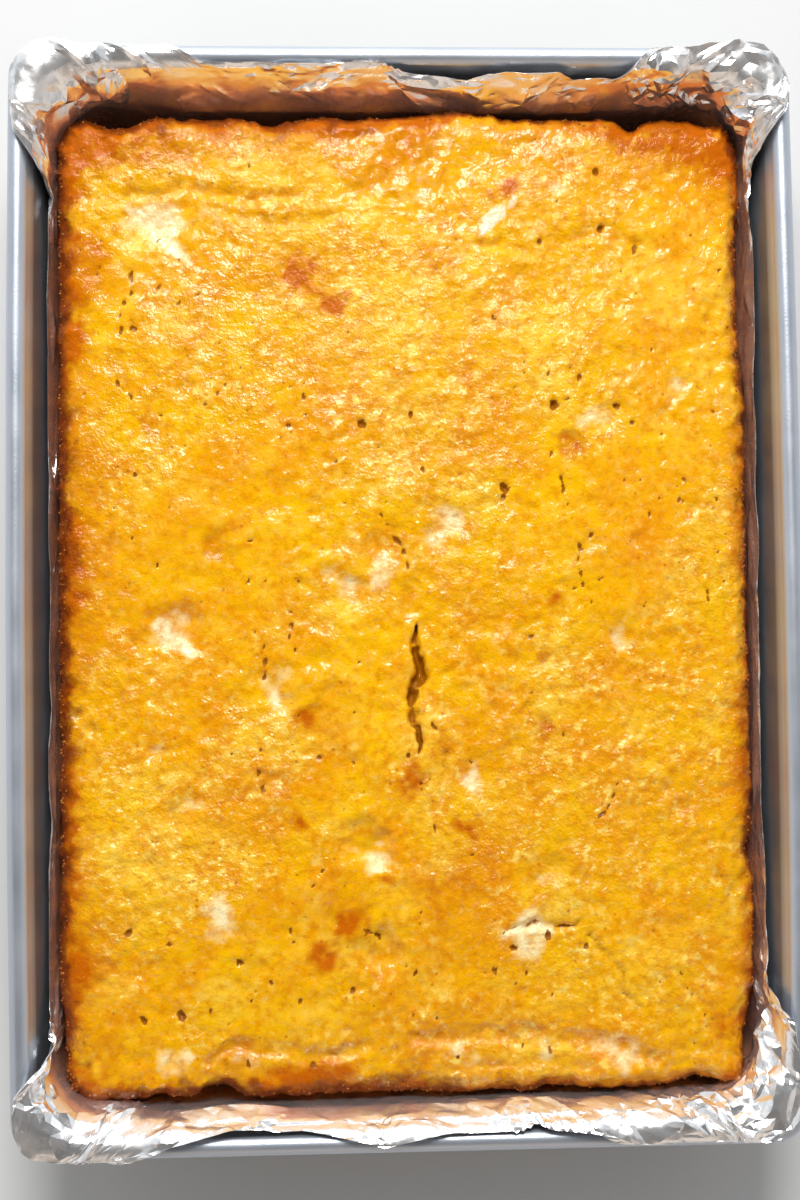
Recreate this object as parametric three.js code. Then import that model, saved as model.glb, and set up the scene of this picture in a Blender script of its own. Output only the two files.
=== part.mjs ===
import * as THREE from 'three';

// A banana cake, whole and uncut, in the foil-lined metal pan that it was baked in.
// Sizes are in millimetres. +X runs across the pan, +Y along it and +Z up. The origin is
// the middle of the pan's underside, on the table.

// The pan, a 9 by 13 inch sheet cake pan with sloped walls and a rolled rim
const PAN_WIDTH = 253;
const PAN_LENGTH = 354;
const PAN_HEIGHT = 51;
const PAN_SHEET = 1;
const BEAD = 6.5;
const WALL_TOP_INSET = 8.2;
const WALL_TOP_Z = 44;
const FLOOR_INSET = 16;
const FLOOR_TURN_Z = 5;
const RIM_CORNER = 12;
const WALL_TOP_CORNER = 12;
const FLOOR_CORNER = 22;
const FLOOR_ROUND = FLOOR_TURN_Z - PAN_SHEET;
const SIDE_BOW = 1.4;
const BEAD_TURNS = [-110, -65, -20, 25, 60, 90, 125, 160];
const PAN_ACROSS = 2;
const PAN_ALONG = 6;
const PAN_CORNER_STEPS = 6;

// The foil, one sheet pressed into the pan, drawn thicker than the real thing
const FOIL_THICKNESS = 0.5;
const FOIL_OFFSET = 0.9;
const FOIL_FLOOR_Z = 1.65;

// The cake
const CAKE_WIDTH = 226;
const CAKE_LENGTH = 320;
const CAKE_MIDDLE_Y = -2;
const CAKE_CORNER = 11;
const CAKE_FLOOR_Z = 2.3;
const CAKE_EDGE_Z = 34;
const CAKE_SHOULDER_Z = 38;
const CAKE_CROWN = 2.4;
const SHOULDER_REACH = 6.5;
const SHOULDER_POWER = 2.2;
const CAKE_COLUMNS = 36;
const CAKE_ROWS = 50;
// The crust is finer along its edges and its middle split, as a reach and a gain
const EDGE_FINER = [14, 2.5];
const SPLIT_FINER = [12, 2.5];
const SPLIT_X = 3;
// Waves of the crust, as height and length
const CRUST_WAVES = [[1.3, 26], [0.6, 11]];
// The cake's outline wavers by a millimetre, and draws the nearest points of the crust along
const EDGE_WAVE = 9;
const EDGE_PULL = 7;

const clamp = THREE.MathUtils.clamp;
const lerp = THREE.MathUtils.lerp;

// A repeatable random number from 0 to 1 for a pair of whole numbers
function chance(i, j) {
  const wave = Math.sin(i * 127.1 + j * 311.7) * 43758.5453;
  return wave - Math.floor(wave);
}

// Soft hills from 0 to 1, about one for each unit of length
function hills(x, y) {
  const i = Math.floor(x);
  const j = Math.floor(y);
  const s = THREE.MathUtils.smoothstep(x - i, 0, 1);
  const t = THREE.MathUtils.smoothstep(y - j, 0, 1);
  const low = lerp(chance(i, j), chance(i + 1, j), s);
  const high = lerp(chance(i, j + 1), chance(i + 1, j + 1), s);
  return lerp(low, high, t);
}

// A round bump, 1 in the middle and 0 at a distance of one reach
function bump(distance, reach) {
  const t = clamp(distance / reach, -1, 1);
  return (1 - t * t) ** 2;
}

// Nearness to a line with a changing half width, given as points of x, y and half width:
// 1 on it and 0 outside it
function nearLine(x, y, line) {
  let inside = 0;
  for (let k = 0; k + 1 < line.length; k++) {
    const [ax, ay, startWidth] = line[k];
    const dx = line[k + 1][0] - ax;
    const dy = line[k + 1][1] - ay;
    const t = clamp(((x - ax) * dx + (y - ay) * dy) / (dx * dx + dy * dy), 0, 1);
    const away = Math.hypot(x - ax - t * dx, y - ay - t * dy);
    inside = Math.max(inside, bump(away, lerp(startWidth, line[k + 1][2], t)));
  }
  return inside;
}

// Straight interpolation in a list of [place, value] pairs, in rising order of place
function readOff(pairs, place) {
  let last = pairs[0];
  for (const pair of pairs) {
    if (place <= pair[0]) {
      const t = pair[0] === last[0] ? 0 : (place - last[0]) / (pair[0] - last[0]);
      return lerp(last[1], pair[1], clamp(t, 0, 1));
    }
    last = pair;
  }
  return last[1];
}

// Places from one end of a half length to the other, closer together near the marks,
// where each mark is a place, a reach and a gain
function gradedPlaces(count, half, marks) {
  const fine = 400;
  const sums = [0];
  for (let i = 0; i < fine; i++) {
    const place = lerp(-half, half, (i + 0.5) / fine);
    const density = marks.reduce((sum, [at, reach, gain]) => sum + gain * bump(place - at, reach), 1);
    sums.push(sums[i] + density);
  }
  const pairs = sums.map((sum, i) => [sum / sums[fine], lerp(-half, half, i / fine)]);
  return Array.from({ length: count + 1 }, (_, i) => readOff(pairs, i / count));
}

// Places round a rounded rectangle, anticlockwise from the near end of its right side.
// sx and sy pick the corner, or slide between two of them, and angle is the way out.
function roundTrip(slidesX, slidesY, alongCorner) {
  const places = [];
  for (let side = 0; side < 4; side++) {
    const angle = side * Math.PI / 2;
    const right = Math.round(Math.cos(angle));
    const far = Math.round(Math.sin(angle));
    for (const slide of (side % 2 === 0 ? slidesY : slidesX).slice(0, -1)) {
      places.push({ sx: right - far * slide, sy: far + right * slide, angle });
    }
    for (let j = 0; j < alongCorner; j++) {
      places.push({ sx: right - far, sy: far + right, angle: angle + j / alongCorner * Math.PI / 2 });
    }
  }
  return places;
}

// The point at one place, at a given inset from the rim's outer edge
function pointAt(place, inset, corner, z) {
  const halfX = PAN_WIDTH / 2 - inset;
  const halfY = PAN_LENGTH / 2 - inset;
  const bow = SIDE_BOW * (1 - place.sy ** 2) * clamp(z / PAN_HEIGHT, 0, 1);
  const x = place.sx * (halfX - corner) + Math.cos(place.angle) * (corner + bow);
  const y = place.sy * (halfY - corner) + Math.sin(place.angle) * corner;
  return new THREE.Vector3(x, y, z);
}

// The corner radius of the wall at a height
function wallCorner(z) {
  return lerp(FLOOR_CORNER, WALL_TOP_CORNER, clamp((z - FLOOR_TURN_Z) / (WALL_TOP_Z - FLOOR_TURN_Z), 0, 1));
}

// A closed skin through rings of equal count, with a point in the middle of each end.
// Each cell is split along the diagonal that rises to the next ring, unless told otherwise.
function skin(rings, firstMiddle, lastMiddle, rises = () => true) {
  const count = rings[0].length;
  const points = [firstMiddle, ...rings.flat(), lastMiddle];
  const last = points.length - 1;
  const index = [];
  for (let k = 0; k < count; k++) {
    const next = (k + 1) % count;
    index.push(0, 1 + next, 1 + k);
    for (let r = 0; r + 1 < rings.length; r++) {
      const near = 1 + r * count;
      const far = near + count;
      if (rises(r, k)) {
        index.push(near + k, near + next, far + next, near + k, far + next, far + k);
      } else {
        index.push(near + k, near + next, far + k, near + next, far + next, far + k);
      }
    }
    const base = last - count;
    index.push(base + k, base + next, last);
  }
  return solidFrom(points, index);
}

function solidFrom(points, index) {
  const geometry = new THREE.BufferGeometry().setFromPoints(points);
  geometry.setIndex(index);
  geometry.computeVertexNormals();
  return geometry;
}

// The rounding between the floor and a wall, from the floor up
function floorArc(radius) {
  const middle = FLOOR_INSET + FLOOR_ROUND;
  return [0, 45, 90].map((degrees) => {
    const turn = THREE.MathUtils.degToRad(degrees);
    return [middle - radius * Math.sin(turn), FLOOR_TURN_Z - radius * Math.cos(turn), FLOOR_CORNER];
  });
}

// Pan: the sheet's outer face from the underside up, round the rolled bead, and down inside
function makePan() {
  const radius = BEAD / 2;
  const beadZ = PAN_HEIGHT - radius;
  const section = [
    ...floorArc(FLOOR_ROUND + PAN_SHEET),
    [WALL_TOP_INSET - PAN_SHEET, WALL_TOP_Z, WALL_TOP_CORNER],
  ];
  for (const degrees of BEAD_TURNS) {
    const turn = THREE.MathUtils.degToRad(degrees);
    section.push([radius - radius * Math.cos(turn), beadZ + radius * Math.sin(turn), RIM_CORNER]);
  }
  section.push([WALL_TOP_INSET, WALL_TOP_Z, WALL_TOP_CORNER]);
  section.push(...floorArc(FLOOR_ROUND).reverse());
  const across = gradedPlaces(PAN_ACROSS, 1, []);
  const along = gradedPlaces(PAN_ALONG, 1, []);
  const places = roundTrip(across, along, PAN_CORNER_STEPS);
  const rings = section.map(([inset, z, corner]) => places.map((place) => pointAt(place, inset, corner, z)));
  return skin(rings, new THREE.Vector3(0, 0, 0), new THREE.Vector3(0, 0, PAN_SHEET));
}

// Foil: how far the sheet reaches up its path, by place along each side. A reach of 40 ends
// on the wall, 52 inside the bead, 57 on top of it and 60 at its outer edge.
const RIGHT_REACH = [
  [-176, 57], [-148, 55], [-140, 44], [-120, 41], [-60, 38], [60, 39], [128, 40], [150, 42], [158, 50],
  [164, 58], [176, 60],
];
const FAR_REACH = [
  [-126, 60], [-76, 59], [-68, 54], [-8, 54], [4, 50], [22, 48], [36, 52], [54, 52], [60, 48], [74, 49],
  [84, 58], [126, 60],
];
const LEFT_REACH = [
  [-176, 60], [-163, 58], [-155, 45], [-140, 41], [-120, 39], [0, 37], [86, 38], [143, 41], [151, 50],
  [156, 58], [176, 60],
];
const NEAR_REACH = [
  [-126, 60], [-92, 60], [-80, 56], [-62, 53], [-36, 52], [-22, 55], [-10, 57], [10, 54], [46, 53.5], [62, 55],
  [72, 58], [126, 58],
];
const FOIL_REACH = [RIGHT_REACH, FAR_REACH, LEFT_REACH, NEAR_REACH];

// The path that the foil's middle follows, as insets and heights, by length from the floor up
const FOIL_PATH = new THREE.SplineCurve([
  [FLOOR_INSET + 5, FOIL_FLOOR_Z + 0.05], [FLOOR_INSET + 2.2, 2.7], [FLOOR_INSET + 1, 5.2],
  [12.9, 25], [WALL_TOP_INSET + FOIL_OFFSET, WALL_TOP_Z], [8, 48], [6.8, 51.6], [3.3, 52.9],
  [0.1, 51.4], [-1.6, 48], [-1.7, 43],
].map(([inset, z]) => new THREE.Vector2(inset, z)));
const FOIL_PATH_LENGTH = FOIL_PATH.getLength();

// Zones of the foil: how far the sheet stands off its path, how much room it has to crumple
// and how much rounder its corner is than the pan's, each by the length reached, and how
// deep each size of crease is
const LONG_WALL = {
  standoff: [[20, 0], [34, 0.5], [42, 0.4], [62, 0]],
  room: [[10, 0], [24, 0.6], [34, 0.8], [42, 1.4], [62, 2]],
  rounder: [[0, 0], [62, 0]],
  creases: [0.8, 0.4, 0.1],
};
const FAR_WALL = {
  standoff: [[16, 0], [27, 3.2], [33, 4.4], [42, 2.6], [48, 1.4], [54, 0.6], [62, 0]],
  room: [[10, 0], [24, 0.4], [34, 1.2], [43, 2.6], [52, 2.6], [62, 2.2]],
  rounder: [[0, 0], [62, 0]],
  creases: [0.6, 0.55, 0.16],
};
const NEAR_WALL = {
  standoff: [[16, 0], [30, 0.6], [36, 1.6], [42, 3], [48, 2.2], [54, 0.4], [62, 0]],
  room: [[10, 0], [24, 0.8], [34, 1.2], [42, 2.6], [52, 3], [62, 2]],
  rounder: [[0, 0], [62, 0]],
  creases: [0.6, 0.35, 0.12],
};
const BROAD_CORNER = {
  standoff: [[16, 0], [32, 0.5], [38, 1.8], [46, 2.5], [56, 0.5], [62, 0]],
  room: [[10, 0], [28, 0.6], [34, 1.2], [40, 3.4], [46, 5], [53, 4.2], [58, 2.2], [64, 1.4]],
  rounder: [[10, 0], [30, 0.5], [36, 2], [43, 9], [50, 7], [60, 2]],
  creases: [0.7, 0.55, 0.22],
};
const CRUSHED_CORNER = {
  standoff: [[16, 0], [32, 0.5], [38, 1.8], [46, 2.5], [56, 0.8], [62, 0]],
  room: [[10, 0], [28, 0.6], [34, 1.2], [40, 3.4], [46, 5], [53, 4.6], [58, 2.6], [64, 1.8]],
  rounder: [[10, 0], [30, 0.5], [36, 2], [43, 9], [50, 7], [60, 2]],
  creases: [0.45, 0.6, 0.6],
};
// The corners, anticlockwise from the far right one
const CORNER_ZONES = [
  [1, 1, CRUSHED_CORNER], [-1, 1, BROAD_CORNER], [-1, -1, BROAD_CORNER], [1, -1, CRUSHED_CORNER],
];
const CORNER_REACH = 62;

// The sheet starts as large triangles, which are halved twice
const LARGE_ACROSS = 12;
const LARGE_ALONG = 18;
const LARGE_ROWS = 2;
const HALVINGS = 2;
const FINE = 2 ** HALVINGS;
const HIGH_ROWS = LARGE_ROWS * FINE;
const LOW_LENGTHS = [0, 3, 6.5, 14];
const HIGH_FROM = 26;
const ROW_EASE = 1.3;
const SLIDES = [0.28, 0.14, 0.14];
const LIFT = 0.3;
const SIDE_ENDS = [[-1, 0.25, 0.3], [1, 0.25, 0.3]];

// What the sheet does at one column: how far it reaches, and each zone's share of it
function foilColumn(place) {
  const rim = pointAt(place, 0, RIM_CORNER, PAN_HEIGHT);
  const side = Math.floor(place.angle / (Math.PI / 2) + 0.5) % 4;
  const reach = readOff(FOIL_REACH[side], side % 2 === 0 ? rim.y : rim.x);
  let left = 1;
  const zones = CORNER_ZONES.map(([sx, sy, zone]) => {
    const share = bump(Math.hypot(rim.x - sx * PAN_WIDTH / 2, rim.y - sy * PAN_LENGTH / 2), CORNER_REACH);
    left -= share;
    return [zone, share];
  });
  const far = Math.max(Math.sin(place.angle), 0) ** 2;
  const near = Math.max(-Math.sin(place.angle), 0) ** 2;
  zones.push([FAR_WALL, left * far], [NEAR_WALL, left * near], [LONG_WALL, left * (1 - far - near)]);
  const blend = (read) => zones.reduce((sum, [zone, share]) => sum + share * read(zone), 0);
  const told = (name, reached) => blend((zone) => readOff(zone[name], reached));
  const depth = (level) => blend((zone) => zone.creases[level]);
  const reached = (t) => HIGH_FROM + (reach - HIGH_FROM) * (1 - (1 - t) ** ROW_EASE);
  return { reached, told, depth };
}

// Values on a grid with twice the rows and columns, which goes round on itself
function halve(values, rising) {
  const rows = 2 * values.length - 1;
  const count = values[0].length;
  return Array.from({ length: rows }, (_, j) => Array.from({ length: 2 * count }, (_, i) => {
    const low = values[Math.floor(j / 2)];
    const high = values[Math.ceil(j / 2)];
    const here = Math.floor(i / 2);
    const next = Math.ceil(i / 2) % count;
    const turned = j % 2 === 1 && i % 2 === 1 && !rising[(j - 1) / 2][here];
    return turned ? (low[next] + high[here]) / 2 : (low[here] + high[next]) / 2;
  }));
}

// Which diagonal splits each new cell. Cells on an old diagonal keep its direction.
function halveDiagonals(rising, level) {
  return Array.from({ length: 2 * rising.length }, (_, j) => (
    Array.from({ length: 2 * rising[0].length }, (_, i) => {
      const old = rising[Math.floor(j / 2)][Math.floor(i / 2)];
      const onDiagonal = (j % 2 === i % 2) === old;
      return onDiagonal ? old : chance(i + 0.5, j + 60 * level) < 0.5;
    })
  ));
}

// A random number from -1 to 1 for each point that is new at this halving
function luck(i, j, level, kind) {
  const fresh = level === 0 || i % 2 === 1 || j % 2 === 1;
  return fresh ? 2 * chance(i + 200 * kind, j + 60 * level) - 1 : 0;
}

// How far each point stands out, and how far it slid along and up, in columns and rows
function crumple(columns) {
  const large = columns.length / FINE;
  const plain = Array.from({ length: LARGE_ROWS + 1 }, () => new Array(large).fill(0));
  let grids = { out: plain, along: plain, up: plain };
  let rising = plain.slice(1).map((row, j) => row.map((_, i) => (i + j) % 2 === 0));
  for (let level = 0; level <= HALVINGS; level++) {
    const step = FINE / 2 ** level;
    if (level > 0) {
      const { out, along, up } = grids;
      grids = { out: halve(out, rising), along: halve(along, rising), up: halve(up, rising) };
      rising = halveDiagonals(rising, level);
    }
    const last = grids.out.length - 1;
    const slide = SLIDES[level] * step;
    const add = (grid, gain) => grid.map((row, j) => row.map((value, i) => value + gain(i, j)));
    grids = {
      out: add(grids.out, (i, j) => {
        const column = columns[i * step];
        const room = column.told('room', column.reached(j / last));
        return luck(i, j, level, 0) * column.depth(level) * room;
      }),
      along: add(grids.along, (i, j) => luck(i, j, level, 1) * slide),
      up: add(grids.up, (i, j) => (j === 0 || j === last ? 0 : luck(i, j, level, 2) * slide)),
    };
  }
  return { ...grids, rising };
}

// The place at a number of columns round the pan, between the places of the columns
function placeBetween(places, number) {
  const count = places.length;
  const turned = ((number % count) + count) % count;
  const k = Math.floor(turned);
  const a = places[k];
  const b = places[(k + 1) % count];
  const t = turned - k;
  const angleAfter = k + 1 === count ? 2 * Math.PI : b.angle;
  return { sx: lerp(a.sx, b.sx, t), sy: lerp(a.sy, b.sy, t), angle: lerp(a.angle, angleAfter, t) };
}

// The foil's outer and inner point at a place, by the length reached and the offset inwards
function foilPoints(place, column, reached, offset) {
  const t = clamp(reached / FOIL_PATH_LENGTH, 0, 1);
  const middle = FOIL_PATH.getPointAt(t);
  const way = FOIL_PATH.getTangentAt(t);
  return [-FOIL_THICKNESS / 2, FOIL_THICKNESS / 2].map((half) => {
    const inset = middle.x + way.y * (offset + half);
    const z = middle.y - way.x * (offset + half);
    const corner = wallCorner(z) - (FOIL_OFFSET + offset + half) * way.y + column.told('rounder', reached);
    return pointAt(place, inset, corner, z);
  });
}

function makeFoil() {
  const across = gradedPlaces(LARGE_ACROSS * FINE, 1, SIDE_ENDS);
  const along = gradedPlaces(LARGE_ALONG * FINE, 1, SIDE_ENDS);
  const places = roundTrip(across, along, FINE);
  const columns = places.map(foilColumn);
  const sheet = crumple(columns);
  // The straight sides keep every second column
  const kept = places.map((_, k) => k).filter((k) => k % 2 === 0 || places[k].angle % (Math.PI / 2) > 0.01);
  // The lower rows grow out of the smooth floor into the first creased row
  const rings = LOW_LENGTHS.map((length) => kept.map((k) => {
    const share = length / HIGH_FROM;
    const out = sheet.out[0][k] + LIFT * columns[k].told('room', HIGH_FROM);
    const offset = columns[k].told('standoff', length) + share * Math.max(out, 0);
    return foilPoints(placeBetween(places, k + share * sheet.along[0][k]), columns[k], length, offset);
  }));
  for (let row = 0; row <= HIGH_ROWS; row++) {
    rings.push(kept.map((k) => {
      const column = columns[k];
      const room = column.told('room', column.reached(row / HIGH_ROWS));
      const reached = column.reached((row + sheet.up[row][k]) / HIGH_ROWS);
      const offset = column.told('standoff', reached) + Math.max(sheet.out[row][k] + LIFT * room, 0);
      const slid = row === HIGH_ROWS ? 0 : sheet.along[row][k];
      return foilPoints(placeBetween(places, k + slid), column, reached, offset);
    }));
  }
  const outer = rings.map((ring) => ring.map(([point]) => point));
  const inner = rings.map((ring) => ring.map(([, point]) => point)).reverse();
  const under = new THREE.Vector3(0, 0, FOIL_FLOOR_Z - FOIL_THICKNESS / 2);
  const above = new THREE.Vector3(0, 0, FOIL_FLOOR_Z + FOIL_THICKNESS / 2);
  // Both faces are split alike, and the inner one's rings come in the other order
  const rises = (r, k) => {
    const isInner = r >= rings.length;
    const row = (isInner ? 2 * rings.length - 2 - r : r) - LOW_LENGTHS.length;
    const rising = row < 0 || row >= HIGH_ROWS || sheet.rising[row][kept[k]];
    return rising !== isInner;
  };
  return skin([...outer, ...inner], under, above, rises);
}

// Cake: notches in its outline, as side, place along it, half width and depth
const NOTCHES = [
  ['far', -93, 14, 3.6], ['far', -43, 6, 2.4], ['far', 77, 6, 4], ['far', 20, 20, -1], ['far', 102, 8, 2],
  ['right', 105, 40, 1.8], ['right', -82, 7, 2.6], ['right', -146, 24, 4],
  ['near', 95, 12, 3], ['near', 47, 10, 1.8], ['near', -62, 9, 4], ['near', -82, 5, 1.6],
  ['left', -150, 24, 2], ['left', 60, 12, -0.7],
];

// Hollows where fruit lay under the crust, as x, y, reach and depth
const HOLLOWS = [
  [-81, 121, 15, 2.2], [-78, -13, 12, 2.8], [-21, 2, 9, 2.4], [-6, 13, 9, 2.2], [11, 22, 11, 2.6],
  [-52, -32, 7, 1.6], [-41, -32, 8, 2.2], [-84, -50, 6, 1.8], [-72, -72, 8, 1.8], [-13, -81, 9, 3.2],
  [-11, -117, 9, 3.2], [71, -14, 6, 1.8], [22, -62, 10, 1.6], [43, -92, 9, 1.8], [91, 69, 7, 1.6],
  [65, 56, 6, 1.6], [-60, 17, 6, 1.6], [53, 48, 7, 1.4],
];

// Splits and wrinkles in the crust, as depth and the line that each follows
const FURROWS = [
  [4.5, [[2, -10, 0.8], [2, -17, 1.8], [4, -26, 3.8], [2, -35, 2.4], [2, -45, 2], [3, -52, 0.9]]],
  [1.6, [[-91, 132, 2.5], [-71, 134, 4], [-49, 130, 4], [-35, 132, 2.5]]],
  [1.3, [[58, 118, 2.5], [65, 120, 4], [77, 114, 2.5]]],
  [1.8, [[0, -143, 3], [14, -144, 4], [29, -142, 5], [48, -146, 5], [68, -147, 5], [80, -153, 3]]],
  [1.6, [[-66, -151, 2.5], [-58, -146, 4], [-44, -147, 4.5], [-30, -149, 3], [-14, -146, 2.5]]],
];

// The sides lean in with the pan: inset from the top edge, height, corner and roughness
const CAKE_SIDE = [
  [0.6, 29, 12.5, 1], [1.8, 18, 16, 0.7], [3.5, 9, 20, 0.4], [5.2, 4.4, 23, 0.3], [8, CAKE_FLOOR_Z, 25, 0.3],
];

// The cake's outline at an inset from its top edge: a point on the plain rectangle moves to
// the rounded edge, with its notches and its share of roughness
function cakeEdge(x, y, inset = 0, corner = CAKE_CORNER, rough = 1) {
  const halfX = CAKE_WIDTH / 2 - inset;
  const halfY = CAKE_LENGTH / 2 - inset;
  const atX = x * halfX * 2 / CAKE_WIDTH;
  const atY = y * halfY * 2 / CAKE_LENGTH;
  const coreX = clamp(atX, corner - halfX, halfX - corner);
  const coreY = clamp(atY, corner - halfY, halfY - corner);
  const away = new THREE.Vector2(atX - coreX, atY - coreY).normalize();
  let out = corner + rough * (hills(x / EDGE_WAVE + 50, y / EDGE_WAVE + 50) - 0.7);
  for (const [side, at, reach, depth] of NOTCHES) {
    const alongY = side === 'left' || side === 'right';
    const onSide = { right: away.x, left: -away.x, far: away.y, near: -away.y }[side];
    out -= rough * depth * bump((alongY ? y : x) - at, reach) * clamp(onSide, 0, 1);
  }
  return new THREE.Vector2(coreX + away.x * out, coreY + away.y * out);
}

// The crust's height over a place of the plain rectangle
function crustHeight(x, y) {
  const fromEdge = Math.min(CAKE_WIDTH / 2 - Math.abs(x), CAKE_LENGTH / 2 - Math.abs(y - CAKE_MIDDLE_Y));
  const shoulder = 1 - (1 - clamp(fromEdge / SHOULDER_REACH, 0, 1)) ** SHOULDER_POWER;
  const crown = (1 - (2 * x / CAKE_WIDTH) ** 2) * (1 - (2 * y / CAKE_LENGTH) ** 4);
  let z = lerp(CAKE_EDGE_Z, CAKE_SHOULDER_Z, shoulder) + CAKE_CROWN * crown;
  for (const [height, length] of CRUST_WAVES) z += shoulder * height * hills(x / length, y / length);
  for (const [atX, atY, reach, depth] of HOLLOWS) {
    z -= depth * bump(Math.hypot(x - atX, y - atY), reach);
  }
  for (const [depth, line] of FURROWS) z -= depth * nearLine(x, y, line);
  return z;
}

function makeCake() {
  const halfX = CAKE_WIDTH / 2;
  const halfY = CAKE_LENGTH / 2;
  const finerX = [[-halfX, ...EDGE_FINER], [halfX, ...EDGE_FINER], [SPLIT_X, ...SPLIT_FINER]];
  const finerY = [[-halfY, ...EDGE_FINER], [halfY, ...EDGE_FINER]];
  const across = gradedPlaces(CAKE_COLUMNS, halfX, finerX);
  const along = gradedPlaces(CAKE_ROWS, halfY, finerY);
  const points = [];
  const index = [];
  for (const y of along) {
    for (const x of across) {
      const share = Math.max(Math.abs(x) / halfX, Math.abs(y) / halfY, 1e-6);
      const edge = cakeEdge(x / share, y / share);
      const pull = share ** EDGE_PULL;
      const px = x + (edge.x - x / share) * pull;
      const py = y + (edge.y - y / share) * pull;
      points.push(new THREE.Vector3(px, py + CAKE_MIDDLE_Y, crustHeight(x, y + CAKE_MIDDLE_Y)));
    }
  }
  const stride = CAKE_COLUMNS + 1;
  for (let j = 0; j < CAKE_ROWS; j++) {
    for (let i = 0; i < CAKE_COLUMNS; i++) {
      const a = j * stride + i;
      index.push(a, a + 1, a + stride + 1, a, a + stride + 1, a + stride);
    }
  }
  const rim = [];
  for (let i = 0; i < CAKE_COLUMNS; i++) rim.push(i);
  for (let j = 0; j < CAKE_ROWS; j++) rim.push(j * stride + CAKE_COLUMNS);
  for (let i = CAKE_COLUMNS; i > 0; i--) rim.push(CAKE_ROWS * stride + i);
  for (let j = CAKE_ROWS; j > 0; j--) rim.push(j * stride);

  const outline = rim.map((k) => [across[k % stride], along[Math.floor(k / stride)]]);
  let above = rim;
  for (const [inset, z, corner, rough] of CAKE_SIDE) {
    const below = outline.map(([x, y]) => {
      const edge = cakeEdge(x, y, inset, corner, rough);
      points.push(new THREE.Vector3(edge.x, edge.y + CAKE_MIDDLE_Y, z));
      return points.length - 1;
    });
    above.forEach((_, k) => {
      const next = (k + 1) % rim.length;
      index.push(above[k], below[k], below[next], above[k], below[next], above[next]);
    });
    above = below;
  }
  points.push(new THREE.Vector3(0, CAKE_MIDDLE_Y, CAKE_FLOOR_Z));
  const middle = points.length - 1;
  above.forEach((k, n) => index.push(k, middle, above[(n + 1) % above.length]));
  return solidFrom(points, index);
}

const panMetal = new THREE.MeshStandardMaterial({ color: 0x6a6c72, roughness: 0.42, metalness: 0.8 });
const foilMetal = new THREE.MeshStandardMaterial({ color: 0xd9d6d2, roughness: 0.25, metalness: 1 });
foilMetal.flatShading = true;
const crust = new THREE.MeshStandardMaterial({ color: 0xe8a02c, roughness: 0.4, metalness: 0 });

function piece(name, geometry, material) {
  const mesh = new THREE.Mesh(geometry, material);
  mesh.name = name;
  return mesh;
}

const bananaCake = new THREE.Group();
bananaCake.add(piece('baking_pan', makePan(), panMetal));
bananaCake.add(piece('foil_liner', makeFoil(), foilMetal));
bananaCake.add(piece('banana_cake', makeCake(), crust));

export default bananaCake;
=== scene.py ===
# %% [markdown]
# A banana cake in its baking pan
#
# This lesson dresses a plain CAD model of an uncut banana sheet cake. The cake still lies in
# the grey pan that it was baked in, which is lined with one sheet of crumpled foil. The CAD
# model gives the true sizes and places. Here each of its three parts gets a finer shape and
# a finish of its own, and nothing is moved or resized.

# %% Load the fixed frame
import math
from functools import partial

import bmesh
import bpy
import numpy as np
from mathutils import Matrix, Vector


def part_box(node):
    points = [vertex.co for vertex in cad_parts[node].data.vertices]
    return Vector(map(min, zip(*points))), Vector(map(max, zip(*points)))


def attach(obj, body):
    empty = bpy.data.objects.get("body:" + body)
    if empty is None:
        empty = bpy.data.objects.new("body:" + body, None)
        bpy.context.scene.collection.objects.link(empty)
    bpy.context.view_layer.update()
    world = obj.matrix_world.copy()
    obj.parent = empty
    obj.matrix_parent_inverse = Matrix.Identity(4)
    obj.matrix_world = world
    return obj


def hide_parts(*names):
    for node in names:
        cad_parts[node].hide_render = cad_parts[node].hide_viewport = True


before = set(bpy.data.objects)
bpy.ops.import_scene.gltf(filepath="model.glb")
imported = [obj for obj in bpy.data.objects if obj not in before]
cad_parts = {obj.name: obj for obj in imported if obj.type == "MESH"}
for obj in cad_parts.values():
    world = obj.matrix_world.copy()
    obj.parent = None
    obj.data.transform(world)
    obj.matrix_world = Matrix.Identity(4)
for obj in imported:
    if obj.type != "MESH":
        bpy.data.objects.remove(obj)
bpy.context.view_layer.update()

# %% [markdown]
# Sizes are easiest to compare with a ruler in millimetres, so this script works in
# millimetres and turns them to metres only when a mesh is made. The pan's main sizes are read
# from its CAD part, and the others are the pan maker's and the baker's: the bead's thickness,
# the slope of the walls, the height of the crust.

# %% Main sizes, from the frame
MM = 0.001


def box_mm(node):
    """The lowest and highest corner of a CAD part in millimetres."""
    low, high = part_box(node)
    return np.array(low) / MM, np.array(high) / MM


pan_low, pan_high = box_mm("baking_pan")
cake_low, cake_high = box_mm("banana_cake")
# The long walls bow outwards, so the pan's box is wider than the pan is at its two ends
SIDE_BOW = 1.4
BOX_WIDER = 2
PAN_WIDTH = round(pan_high[0] - pan_low[0]) - BOX_WIDER
PAN_LENGTH = round(pan_high[1] - pan_low[1])
PAN_HEIGHT = round(pan_high[2])
print("pan:", PAN_WIDTH, "by", PAN_LENGTH, "by", PAN_HEIGHT, "mm")
print("cake reaches from", cake_low.round(1), "to", cake_high.round(1))

# %% [markdown]
# The camera comes first, because every later choice is judged through it. The picture was
# taken from almost straight above with a normal lens. The rim of the pan is a rectangle of
# known size, so the place of the camera and its small tilt follow from the four corners.

# %% Camera over the pan
# Lens and sensor in millimetres, place in millimetres too, and tilt in degrees
LENS = 50.0
SENSOR = 36.0
CAMERA_PLACE = (-26.3, -24.6, 580.5)
CAMERA_TILT = (2.40, -2.51, -0.68)


def new_object(name, data):
    """A new object in the scene, at the origin."""
    made = bpy.data.objects.new(name, data)
    bpy.context.collection.objects.link(made)
    return made


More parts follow.
